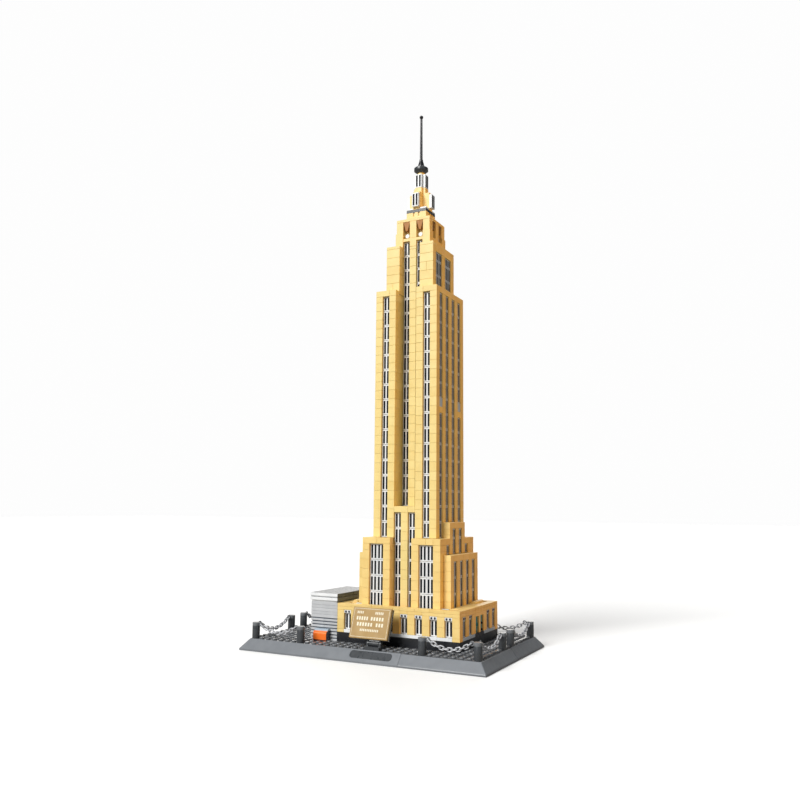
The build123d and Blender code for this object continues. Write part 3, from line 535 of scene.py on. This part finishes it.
def face_place(side, along, wall, height, depth=0.0):
    """Matrix of a point on a face: studs along it, studs out to it, metres above the deck."""
    turn = Matrix.Rotation(TURN[side], 4, "Z")
    point = turn @ Vector((along * PITCH, -wall * PITCH + depth, 0))
    return Matrix.Translation((AXIS_X + point.x, point.y, DECK + height)) @ turn


def tile_column(mesh, side, along, wall, foot, count, template=TALL, skip=()):
    """A column of tiles on each other."""
    for number in range(count):
        if number in skip:
            continue
        place = face_place(side, along, wall, foot + number * TILE_H, RECESS[side] + TILE_T)
        stamp(mesh, template, place, draw.uniform(0.0, TILE_TINT))


def tiles_between(foot, top):
    """How many whole tiles fill a channel."""
    return round((top - foot) / TILE_H)


# %% Tiles of the shaft
STRIPS = (-3, -1, 1, 3)
mesh = start()
for side in ("front", "back"):
    for along in (-3, 3):
        rows = tiles_between(CORNER_TOP, WING_TOP - HEADER)
        tile_column(mesh, side, along, 4.5, CORNER_TOP, rows)
    for along in (-1, 1):
        rows = tiles_between(CENTRE_LOW, TIER_TOP + HEADER)
        tile_column(mesh, side, along, 2.5, CENTRE_LOW, rows)
piece(mesh, "shaft_window_tiles", [WHITE, SLOT_SHADE_AND_MARKS], nodes=("shaft_windows",))

# %% Tiles on the sides
mesh = start()
for side in ("left", "right"):
    for along in STRIPS:
        outer = abs(along) > 2
        foot = CORNER_TOP if outer else SIDE_MID
        rows = tiles_between(foot, WING_TOP - HEADER)
        tile_column(mesh, side, along, 4.5, foot, rows, skip=(BELT_ROW,) if outer else ())
    for along in (-2, -1, 1, 2):
        tile_column(mesh, side, along, 3.5, WING_TOP, 2)
        tile_column(mesh, side, along, 3.5, WING_TOP + 2 * TILE_H, 1, SHORT)
# over its belt, each outer channel starts with one smooth white brick
inset = start()
foot = BELT + HEADER
for side in (-1, 1):
    for face in (-1, 1):
        x = both(side, (4.5 - SIDE_BACK, 4.45))
        solid(inset, x, both(face, (2.5, 3.5)), (foot, foot + BRICK))
round_edges(inset, 0.0004, 2)
stamp(mesh, to_data(inset, "inset_template"), Matrix.Identity(4))
piece(mesh, "side_window_tiles", [WHITE, SLOT_SHADE_AND_MARKS], nodes=("side_windows",))

# %% Tiles of the lower blocks
mesh = start()
for side in ("front", "back"):
    for along in (-4, -3, 3, 4):
        tile_column(mesh, side, along, 5.5, 0, 4)
    for along in (-1, 1):
        tile_column(mesh, side, along, 4.5, 0, 6)
for side in ("left", "right"):
    for along in (-3, 3):
        tile_column(mesh, side, along, 5.5, SIDE_LOW, 1, SHORT)
    for along in (-1, 1):
        tile_column(mesh, side, along, 5.5, SIDE_LOW, 1)
        tile_column(mesh, side, along, 5.5, SIDE_LOW + TILE_H, 1, SHORT)
    for along in STRIPS:
        tile_column(mesh, side, along, 6.5, 0, 3)
piece(mesh, "low_window_tiles", [WHITE, SLOT_SHADE_AND_MARKS], nodes=("low_windows",))

# %% [markdown]
# ## The podium
# The wide building at the foot has one storey of the same windows, a black plinth, white
# sills, and small white pieces with two round marks over the windows. Its roof edge is a
# row of smooth tiles, so their joints have to show.

# %% Podium walls
P_LOW = low("podium_deck")
P_HIGH = high("podium_deck")
SILL_TOP = high("podium_sills").z
HEAD_TOP = P_LOW.z
PLINTH_TOP = low("podium_sills").z
WIDE = (P_HIGH.x - P_LOW.x) / PITCH / 2
DEEP = (P_HIGH.y - P_LOW.y) / PITCH / 2
FRONT_BAYS = [-7 + 2 * bay for bay in range(8)]
SIDE_BAYS = {"right": (-5, -3, 3, 5), "left": (-5,)}
RIGHT_PIERS = ((-4.5, -3.5), (-2.5, -1.5), (1.5, 2.5), (3.5, 4.5))
wall_z = (SILL_TOP - DECK, HEAD_TOP - DECK)

mesh = start()
for face in (-1, 1):
    y = both(face, (DEEP - 1, DEEP))
    for number in range(len(FRONT_BAYS) + 1):
        x = (-WIDE + 2 * number, -WIDE + 2 * number + 1)
        lay(mesh, x, y, wall_z)
    for side in (-1, 1):
        x = both(side, (WIDE - 1, WIDE))
        lay(mesh, x, y, (PLINTH_TOP - DECK, wall_z[0]), course=PLATE)
for pier in RIGHT_PIERS:
    lay(mesh, (WIDE - 1, WIDE), pier, wall_z)
lay(mesh, (-WIDE, -WIDE + 1), (2.5, 4.5), wall_z, "y")
lay(mesh, (-WIDE, -WIDE + 1), (-5.5, 2.5), wall_z, "y")
round_edges(mesh)
piece(mesh, "podium_bricks", [TAN], nodes=("podium_walls",))

# %% Podium windows
mesh = start()
for side in ("front", "back"):
    for along in FRONT_BAYS:
        tile_column(mesh, side, along, DEEP, wall_z[0], 1)
for side, bays in SIDE_BAYS.items():
    for along in bays:
        tile_column(mesh, side, along, WIDE, wall_z[0], 1)
piece(mesh, "podium_window_tiles", [WHITE, SLOT_SHADE_AND_MARKS], nodes=("podium_windows",))

# %% The small pieces over the windows, each with two round marks
HEAD_T = 0.0055        # thickness of a head piece
HEAD_BACK = 0.0058     # from the wall's face in to the back of a head piece
MARK_R = 0.0011
MARK_T = 0.0004
MARK_OUT = 0.0018      # from the middle of a head piece to the middle of a mark

head = start()
add_box(head, (-PITCH / 2, -HEAD_T, -PLATE), (PITCH / 2, 0, 0))
round_edges(head, SOFT)
for x in (-MARK_OUT, MARK_OUT):
    place = Matrix.Translation((x, -HEAD_T, -PLATE / 2)) @ Matrix.Rotation(math.pi / 2, 4, "X")
    made = bmesh.ops.create_cone(
        head, cap_ends=True, segments=10, radius1=MARK_R, radius2=MARK_R, depth=MARK_T,
        matrix=place,
    )
    for face in faces_of(made):
        face.material_index = 1
HEAD = to_data(head, "head_template")
mesh = start()
bays = [(side, along, DEEP) for side in ("front", "back") for along in FRONT_BAYS]
bays += [(side, along, WIDE) for side in SIDE_BAYS for along in SIDE_BAYS[side]]
for side, along, wall in bays:
    place = face_place(side, along, wall, HEAD_TOP - DECK, HEAD_BACK)
    stamp(mesh, HEAD, place, draw.uniform(0, TILE_TINT))
piece(mesh, "podium_head_pieces", [WHITE, SLOT_SHADE_AND_MARKS], nodes=("podium_heads",))

# %% Sills
mesh = start()
sill_z = (PLINTH_TOP - DECK, SILL_TOP - DECK)
for face in (-1, 1):
    lay(mesh, (-WIDE + 1, WIDE - 1), both(face, (DEEP - 1, DEEP)), sill_z, "x", PLATE)
lay(mesh, (WIDE - 1, WIDE), (-DEEP + 1, -1.5), sill_z, "y", PLATE)
lay(mesh, (WIDE - 1, WIDE), (1.5, DEEP - 1), sill_z, "y", PLATE)
lay(mesh, (-WIDE, -WIDE + 1), (-DEEP + 1, DEEP - 1), sill_z, "y", PLATE)
round_edges(mesh)
piece(mesh, "sill_plates", [WHITE], nodes=("podium_sills",))

# %% Deck, with a deeper colour inside its rim
mesh = start()
deck_z = (HEAD_TOP - DECK, 0)
for face in (-1, 1):
    lay(mesh, (-WIDE + 1, WIDE - 1), both(face, (DEEP - 2, DEEP - 1)), deck_z, "x", PLATE)
for side in (-1, 1):
    lay(mesh, both(side, (5.5, WIDE - 1)), (-DEEP + 2, DEEP - 2), deck_z, "x", PLATE)
solid(mesh, (-5.5, 5.5), (-DEEP + 2, DEEP - 2), deck_z)
paint_from(mesh, 0, 1)
for face in (-1, 1):
    lay(mesh, (-WIDE, WIDE), both(face, (DEEP - 1, DEEP)), deck_z, "x", PLATE)
for side in (-1, 1):
    lay(mesh, both(side, (WIDE - 1, WIDE)), (-DEEP + 1, DEEP - 1), deck_z, "y", PLATE)
round_edges(mesh)
piece(mesh, "deck_plates", [TAN, DECK_TAN], nodes=("podium_deck",))

# %% Roof edge
mesh = start()
rim = (0, high("podium_cornice").z - DECK)
EDGE_TINT = 0.5       # smooth tiles show their differences more than bricks do
for face in (-1, 1):
    lay(mesh, (-WIDE, WIDE), both(face, (DEEP - 1, DEEP)), rim, "x", PLATE, EDGE_TINT)
for side in (-1, 1):
    lay(mesh, both(side, (WIDE - 1, WIDE)), (-DEEP + 1, DEEP - 1), rim, "y", PLATE, EDGE_TINT)
round_edges(mesh)
piece(mesh, "roof_edge_tiles", [TAN], nodes=("podium_cornice",))

# %% [markdown]
# ## The studded base
# The base is several dark plates side by side, each with its rows of studs. A stud is a
# short round peg: a cone with equal ends whose top rim is bevelled, and only the studs
# that nothing covers are made. The studs are a grey lighter than their black plate, a
# painted highlight.

# %% One stud
STUD_R = 0.0024
STUD_H = 0.0017
STUD_SUNK = 0.00005   # the foot of a stud lies this far inside its plate
STUD_TINT = 0.3       # most that one stud differs from another


def make_stud():
    """One stud with its foot on Z = 0."""
    mesh = start()
    bmesh.ops.create_cone(
        mesh, cap_ends=True, segments=16, radius1=STUD_R, radius2=STUD_R, depth=STUD_H,
        matrix=Matrix.Translation((0, 0, STUD_H / 2)))
    rim = [e for e in mesh.edges if all(v.co.z > STUD_H * 0.9 for v in e.verts)]
    round_some(mesh, rim, SOFT)
    for face in mesh.faces:
        face.smooth = abs(face.normal.z) < 0.5
    return to_data(mesh, "stud_template")


STUD = make_stud()

# %% Where the studs are free
PLATE_X = 8           # studs along one plate of the base
PLATE_Y = 10
base_low = low("base_underframe")
base_high = high("base_underframe")
base_top = base_high.z + PLATE
columns = round((base_high.x - base_low.x) / PITCH)
rows = round((base_high.y - base_low.y) / PITCH)
covers = [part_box(n) for n in ("podium_plinth", "annex_body", "kiosk_base", "sign_bracket")]
POSTS = [(column, row) for row in (0, 19) for column in (0, 7, 24, 31)]
POSTS += [(column, row) for row in (8, 11) for column in (0, 31)]


def stud_place(column, row):
    """Middle of one stud of the base."""
    return (base_low.x + (column + 0.5) * PITCH, base_low.y + (row + 0.5) * PITCH)


def is_free(column, row):
    """True where nothing stands on the stud."""
    if (column, row) in POSTS:
        return False
    x, y = stud_place(column, row)
    for lowest, highest in covers:
        in_x = lowest.x - STUD_R < x < highest.x + STUD_R
        in_y = lowest.y - STUD_R < y < highest.y + STUD_R
        if in_x and in_y:
            return False
    return True


# %% The plates, then their studs
mesh = start()
for column in range(0, columns, PLATE_X):
    for row in range(0, rows, PLATE_Y):
        x = base_low.x + column * PITCH
        y = base_low.y + row * PITCH
        add_box(
            mesh,
            (x, y, base_high.z),
            (x + PLATE_X * PITCH, y + PLATE_Y * PITCH, base_top),
            draw.uniform(0.0, 0.4),
        )
round_edges(mesh, SOFT)
plate_faces = len(mesh.faces)
free = [(c, r) for c in range(columns) for r in range(rows) if is_free(c, r)]
for column, row in free:
    place = Matrix.Translation((*stud_place(column, row), base_top - STUD_SUNK))
    stamp(mesh, STUD, place, draw.uniform(0.0, STUD_TINT))
# the studs take material 1, a grey lighter than the plate as a painted highlight
paint_from(mesh, plate_faces, 1)
print("studs:", len(free))
piece(mesh, "studded_plates", [PLATE_BLACK, STUD_HIGHLIGHT_GREY], nodes=("base_plate",))

# %% [markdown]
# ## Annex and kiosk
# The annex is a small building of grey plates. Its lower half is ribbed, because each
# plate's edge stands out over a dark joint, and its roof is two plates with a shadow line
# between them. The dark core behind the ribs reaches the annex's right face, as painted
# shade on that side. The roof is pale in front, with painted shade in mid grey on top and
# in dark slate on its right side, and the kiosk is orange with painted shade in navy on its
# right side, so each face is painted by its normal.

# %% Ribbed walls
def paint_by_side(mesh, pick):
    """Give each face the material number that pick returns for its normal."""
    mesh.normal_update()
    for face in mesh.faces:
        face.material_index = pick(face.normal)


a_low, a_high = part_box("annex_body")
RIBS = 7
RIB_GAP = 0.0010      # height of the dark joint over each rib
RIB_OUT = 0.0009      # how far a rib stands out from the wall behind it
mesh = start()
# the dark core fills the joints between the ribs; its right face is flush with the ribs, painted
# shade on the right side
add_box(
    mesh,
    (a_low.x + RIB_OUT, a_low.y + RIB_OUT, a_low.z),
    (a_high.x, a_high.y - RIB_OUT, a_high.z - RIB_OUT),
)
paint_from(mesh, 0, 1)
seam = a_low.x + 2 * PITCH
for number in range(RIBS):
    foot = a_low.z + number * PLATE
    head = foot + PLATE - RIB_GAP
    for x0, x1 in ((a_low.x, seam), (seam, a_high.x)):
        add_box(mesh, (x0, a_low.y, foot), (x1, a_high.y, head), draw.uniform(0, 0.5))
foot = a_low.z + RIBS * PLATE
while foot < a_high.z - GAP:
    head = min(foot + PLATE, a_high.z)
    add_box(mesh, (a_low.x, a_low.y, foot), (a_high.x, a_high.y, head), draw.uniform(0, 0.4))
    foot = head
round_edges(mesh, SOFT)
piece(mesh, "annex_ribbed_walls", [PALE_GREY, SLATE_JOINTS_AND_SHADE], nodes=("annex_body",))

# %% The flat roof
r_low, r_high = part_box("annex_roof")
ROOF_LAYERS = [       # foot, head, and how far the layer steps in
    (0, 0.0016, 0.0016),
    (0.0016, 0.0048, 0),
    (0.0048, 0.0058, 0.001),
    (0.0058, 0.009, 0),
]
mesh = start()
for foot, head, inward in ROOF_LAYERS:
    add_box(
        mesh,
        (r_low.x + inward, r_low.y + inward, r_low.z + foot),
        (r_high.x - inward, r_high.y - inward, r_low.z + head),
        gap=0.0,
    )
round_edges(mesh, 0.00035, 2)
# the right side gets dark slate and the top mid grey, both painted shade on the pale plates
paint_by_side(mesh, lambda n: 1 if n.x > 0.7 else 2 if n.z > 0.7 else 0)
piece(mesh, "annex_roof_plates", [WHITE, SLATE_JOINTS_AND_SHADE, ROOF_TOP_SHADE], nodes=("annex_roof",))

# %% The kiosk, orange in front and with painted shade at its side
k_low, k_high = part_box("kiosk_body")
BROW_R = 0.003        # radius of the rounded brow over its front
mesh = start()
add_box(mesh, k_low, k_high, gap=0.0)
brow = [
    e for e in mesh.edges
    if all(v.co.z > k_high.z - 1e-5 and v.co.y < k_low.y + 1e-5 for v in e.verts)
]
round_some(mesh, brow, BROW_R, 5)
sharp = [e for e in mesh.edges if e.calc_face_angle(0) > math.radians(60)]
round_some(mesh, sharp, SOFT, 2)
# the right side takes navy, painted shade on the orange kiosk
paint_by_side(mesh, lambda n: 1 if n.x > 0.7 else 0)
piece(mesh, "kiosk_shell", [ORANGE, KIOSK_SIDE_SHADE], nodes=("kiosk_body",))

# %% [markdown]
# ## Pieces that keep their CAD shape
# Turned and moulded parts already have the right shape. They only need soft edges, as no
# moulding is razor sharp: their loose triangles are welded, then a bevel modifier rounds
# every edge sharper than thirty five degrees. The links of the chains are round wire
# already, so they get a finish only.

# %% Finish and edge of each CAD node
KEEP = {
    "base_underframe": (BLACK, SOFT),
    "border_front_left": (BORDER, 0.0006), "border_front_right": (BORDER, 0.0006),
    "border_back_left": (BORDER, 0.0006), "border_back_right": (BORDER, 0.0006),
    "border_panel": (DARK_GREY, 0.0001),
    "podium_plinth": (BLACK, SOFT), "roof_strip": (TAN, SOFT), "roof_lamps": (PALE_BLUE, 0.0005),
    "door_frame": (TAN, FINE), "door_clips": (BLACK, FINE),
    "door_leaf_front": (TEAL, 0.00015), "door_leaf_back": (TEAL, 0.00015),
    "kiosk_base": (BLACK, FINE), "kiosk_canopy": (PALE_BLUE, FINE),
    "sign_bracket": (DARK_GREY, FINE), "sign_face": (SIGN_TAN, SOFT),
    "crown_base": (TAN, SOFT), "crown_piers": (TAN, SOFT), "crown_cap": (TAN, SOFT),
    "crown_hoppers": (BROWN, FINE), "crown_buttons": (WHITE, SOFT),
    "lantern_block": (TAN, SOFT), "lantern_plate": (DARK_GREY, SOFT),
    "spire_core": (TAN, SOFT), "spire_arms": (TAN, SOFT),
    "dish": (DARK_GREY, SOFT), "mast": (BLACK, 0.0001),
    "fence_posts": (DARK_GREY, FINE), "post_caps": (CAP_GREY, FINE),
}
for node in frame["nodes"]:
    if node.startswith("chain_"):
        KEEP[node] = (CHAIN_GREY, 0.0)

# %% Weld and round them
WELD = 0.000002       # points closer than this become one
SHARP = math.radians(35)


def dress(node, material, width):
    """Give a CAD node its finish and soft edges."""
    part = frame["nodes"][node]
    part.data.materials.clear()
    part.data.materials.append(material)
    if width > 0:
        weld = part.modifiers.new("weld", "WELD")
        weld.merge_threshold = WELD
        bevel = part.modifiers.new("soft_edges", "BEVEL")
        bevel.width = width
        bevel.segments = 2
        bevel.limit_method = "ANGLE"
        bevel.angle_limit = SHARP


for node, (material, width) in KEEP.items():
    dress(node, material, width)
print("CAD nodes dressed:", len(KEEP))

# %% [markdown]
# ## The spire's tiles
# Slotted tiles stand round the four arms of the spire, low down and again higher up. A
# small square tile lies on each corner of the plate under them.

# %% Tiles on the spire
SPIRE_FOOT = above(high("lantern_plate").z)
LOWER_FOOT = 0.0024   # from the plate up to the lower tiles
UPPER_FOOT = 0.0272
CORNER_T = 0.002
mesh = start()
for side in TURN:
    for wall, foot in ((1.5, LOWER_FOOT), (0.5, UPPER_FOOT)):
        place = face_place(side, 0, wall, SPIRE_FOOT + foot)
        stamp(mesh, TALL, place, draw.uniform(0, TILE_TINT))
corners = start()
corner_z = (SPIRE_FOOT, SPIRE_FOOT + CORNER_T)
for side in (-1, 1):
    for face in (-1, 1):
        solid(corners, both(side, (0.5, 1.5)), both(face, (0.5, 1.5)), corner_z)
round_edges(corners, SOFT)
stamp(mesh, to_data(corners, "corner_template"), Matrix.Identity(4))
piece(mesh, "spire_slotted_tiles", [WHITE, SLOT_SHADE_AND_MARKS], nodes=("spire_tiles",))

# %% [markdown]
# ## The printed sign
# The sign is a smooth tan tile with a thin pale frame and rows of print. The print is
# only plain bars of different length here. They are laid on the leaning face, so each bar
# is made upright and then turned with the sign about its hinge.

# %% Measures of the sign
hinge = next(j for j in frame["joints"] if j["name"] == "sign_tilt")["pos_m"]
LEAN = math.radians(-19.0)
sign_middle = (low("sign_face").x + high("sign_face").x) / 2
SIGN_W = high("sign_face").x - low("sign_face").x
SIGN_H = 0.030
SIGN_FOOT = 0.003     # from the hinge up to the foot of the sign
sign_place = Matrix.Translation((sign_middle, hinge[1], hinge[2])) @ Matrix.Rotation(LEAN, 4, "X")
print("sign", round(SIGN_W, 4), "wide, leaning", round(math.degrees(LEAN)), "degrees")

# %% The pale frame and the rows of bars
FACE_Y = -0.0052      # front of the face, seen from the hinge
INK = 0.00006         # how far the print stands out, and how far it goes in
LINE = 0.0003         # width of the frame's lines
LINE_IN = 0.0015      # from the edge of the face to the lines
LINE_END = 0.0013     # from the edge of the face to the ends of the upright lines
BAR_STEP = 0.85       # step between bars, in heights of a bar
BAR_FILL = 0.62       # share of a step that is ink
ROWS = [              # middle height, blocks as middle and width, height of the bars
    (0.0248, [(-0.0125, 0.0075), (0.0085, 0.0095)], 0.0024),
    (0.0192, [(-0.0095, 0.0135), (0.0070, 0.0150)], 0.0034),
    (0.0135, [(-0.0060, 0.0180), (0.0105, 0.0090)], 0.0034),
    (0.0080, [(0.0, 0.0210)], 0.0022),
]
bars = []
for edge in (-1, 1):
    upright = edge * (SIGN_W / 2 - LINE_IN)
    level = SIGN_H / 2 + edge * (SIGN_H / 2 - LINE_IN)
    bars.append((upright, SIGN_H / 2, LINE, SIGN_H - 2 * LINE_END))
    bars.append((0, level, SIGN_W - 2 * LINE_IN, LINE))
for z, blocks, tall in ROWS:
    for middle, wide in blocks:
        count = max(2, round(wide / (tall * BAR_STEP)))
        step = wide / count
        for number in range(count):
            x = middle - wide / 2 + (number + 0.5) * step
            bars.append((x, z, step * BAR_FILL, tall))
mesh = start()
for x, z, wide, tall in bars:
    add_box(
        mesh,
        (x - wide / 2, FACE_Y - INK, SIGN_FOOT + z - tall / 2),
        (x + wide / 2, FACE_Y + INK, SIGN_FOOT + z + tall / 2),
        gap=0.0,
    )
bmesh.ops.transform(mesh, matrix=sign_place, verts=mesh.verts)
piece(mesh, "sign_print", [PRINT], body="sign")

# %% The white plate behind the face, with its dark hinge barrel
SHEET = 0.0032
BACK_Y = 0.0012
BARREL_R = 0.0024
BARREL_L = 0.0108
PIN_R = 0.0015
TONGUE_W = 0.0106     # the tongue joins the plate to the barrel
TONGUE_T = 0.0024
TONGUE_UP = 0.0004
b_low, b_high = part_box("sign_bracket")
tongue_x = (b_low.x + b_high.x) / 2 - sign_middle
mesh = start()
add_box(
    mesh,
    (-SIGN_W / 2, BACK_Y - SHEET, SIGN_FOOT),
    (SIGN_W / 2, BACK_Y, SIGN_FOOT + SIGN_H),
    gap=0.0,
)
round_edges(mesh, SOFT, 2)
white_faces = len(mesh.faces)
add_box(
    mesh,
    (tongue_x - TONGUE_W / 2, -TONGUE_T / 2, TONGUE_UP),
    (tongue_x + TONGUE_W / 2, TONGUE_T / 2, SIGN_FOOT + TONGUE_UP),
)
across = Matrix.Translation((tongue_x, 0, 0)) @ Matrix.Rotation(math.pi / 2, 4, "Y")
for radius, length in ((BARREL_R, BARREL_L), (PIN_R, 2 * PITCH - GAP)):
    made = bmesh.ops.create_cone(
        mesh, cap_ends=True, segments=24, radius1=radius, radius2=radius, depth=length,
        matrix=across,
    )
    ends = [face for face in faces_of(made) if len(face.verts) > 4]
    round_some(mesh, {edge for end in ends for edge in end.edges}, FINE)
paint_from(mesh, white_faces, 1)
bmesh.ops.transform(mesh, matrix=sign_place, verts=mesh.verts)
piece(
    mesh, "sign_plate_and_hinge", [WHITE, DARK_GREY],
    body="sign", nodes=("sign_back",))

# %% [markdown]
# ## Floor and world
# A white table in a white room keeps the eye on the model. A really white floor would throw
# so much light up that the walls lose their colour. So floor and world are white only for
# camera rays, and all other rays meet a dull floor and a faint sky. The Light Path node
# tells the two kinds of rays apart.

# %% Floor
FLOOR_SIZE = 8.0
FLOOR_DROP = 0.0002   # a hair under the model, so that the two don't flicker
floor_mesh = bmesh.new()
bmesh.ops.create_grid(floor_mesh, x_segments=4, y_segments=4, size=FLOOR_SIZE)
floor_data = to_data(floor_mesh, "floor")
floor_paint = bpy.data.materials.new("floor_paint")
floor_paint.use_nodes = True
tree = floor_paint.node_tree
shader = tree.nodes["Principled BSDF"]
shader.inputs["Roughness"].default_value = 0.7
shader.inputs["Specular IOR Level"].default_value = 0.1
rays = tree.nodes.new("ShaderNodeLightPath")
seen = tree.nodes.new("ShaderNodeMix")
seen.data_type = "RGBA"
seen.inputs["A"].default_value = (0.34, 0.32, 0.29, 1)
seen.inputs["B"].default_value = (0.98, 0.98, 0.985, 1)
tree.links.new(rays.outputs["Is Camera Ray"], seen.inputs["Factor"])
tree.links.new(seen.outputs["Result"], shader.inputs["Base Color"])
floor_data.materials.append(floor_paint)
floor = bpy.data.objects.new("floor", floor_data)
floor.location.z = -FLOOR_DROP
bpy.context.scene.collection.objects.link(floor)

# %% World
world = bpy.data.worlds.new("studio")
bpy.context.scene.world = world
world.use_nodes = True
tree = world.node_tree
sky = tree.nodes["Background"]
sky.inputs["Color"].default_value = (1.0, 0.98, 0.95, 1)
sky.inputs["Strength"].default_value = 0.06
paper = tree.nodes.new("ShaderNodeBackground")
paper.inputs["Color"].default_value = (0.985, 0.985, 0.985, 1)
rays = tree.nodes.new("ShaderNodeLightPath")
either = tree.nodes.new("ShaderNodeMixShader")
tree.links.new(rays.outputs["Is Camera Ray"], either.inputs["Fac"])
tree.links.new(sky.outputs["Background"], either.inputs[1])
tree.links.new(paper.outputs["Background"], either.inputs[2])
tree.links.new(either.outputs["Shader"], tree.nodes["World Output"].inputs["Surface"])
bpy.context.scene.view_settings.view_transform = "Standard"
print("view transform:", bpy.context.scene.view_settings.view_transform)

# %% [markdown]
# ## Light
# All lamps are suns, whose wide angle makes the shadows soft. The key comes from the front
# and a little from the left, so the fronts are bright and the right sides are not. A warm
# fill from the right turns the right sides of the tan bricks into deep gold. Light linking
# keeps that fill off the grey and white pieces, which have a weak cool one of their own.

# %% Tan pieces in one group, all others in a second
gold = bpy.data.collections.new("gold_pieces")
others = bpy.data.collections.new("other_pieces")
for part in bpy.context.scene.objects:
    if part.type == "MESH":
        is_tan = any(paint in (TAN, PALE_TAN) for paint in part.data.materials)
        (gold if is_tan else others).objects.link(part)

# %% Lamps
LIGHTS = {            # place, strength, angle in degrees, colour, who receives it
    "key": ((-0.45, -1.7, 1.50), 3.6, 30, (1.0, 1.0, 0.98), None),
    "top": ((0.0, 0.2, 3.0), 0.8, 60, (0.97, 0.98, 1.0), None),
    "gold_fill": ((2.2, -0.5, 0.6), 1.7, 40, (1.0, 0.48, 0.08), gold),
    "grey_fill": ((2.2, -0.5, 0.6), 0.20, 40, (0.90, 0.96, 1.0), others),
    "back": ((-0.5, 1.7, 1.2), 1.0, 50, (1.0, 0.97, 0.92), None),
}
target = Vector((AXIS_X, 0, 0.27))
for name, (spot, strength, spread, colour, receivers) in LIGHTS.items():
    light = bpy.data.lights.new(name, "SUN")
    light.energy = strength
    light.angle = math.radians(spread)
    light.color = colour
    lamp = bpy.data.objects.new(name, light)
    lamp.location = spot
    lamp.rotation_euler = (target - Vector(spot)).to_track_quat("-Z", "Y").to_euler()
    bpy.context.scene.collection.objects.link(lamp)
    if receivers:
        lamp.light_linking.receiver_collection = receivers
print("lamps:", len(LIGHTS))

# %% [markdown]
# ## Camera
# The camera stands low at the front right corner and looks a little up, as a visitor
# would. Yaw, pitch and roll are named, because they are easier to change than a rotation.

# %% Camera
camera_data = bpy.data.cameras.new("camera")
camera_data.lens = 35.2
camera_data.sensor_width = 36.0
camera = bpy.data.objects.new("camera", camera_data)
camera.location = (0.392, -0.759, 0.147)
YAW = math.radians(27.1)
PITCH_UP = math.radians(7.85)
ROLL = math.radians(0.5)
level = math.cos(PITCH_UP)
forward = Vector((-math.sin(YAW) * level, math.cos(YAW) * level, math.sin(PITCH_UP)))
turn = forward.to_track_quat("-Z", "Y") @ Euler((0, 0, ROLL)).to_quaternion()
camera.rotation_euler = turn.to_euler()
bpy.context.scene.collection.objects.link(camera)
bpy.context.scene.camera = camera
print("camera at", tuple(round(value, 3) for value in camera.location))
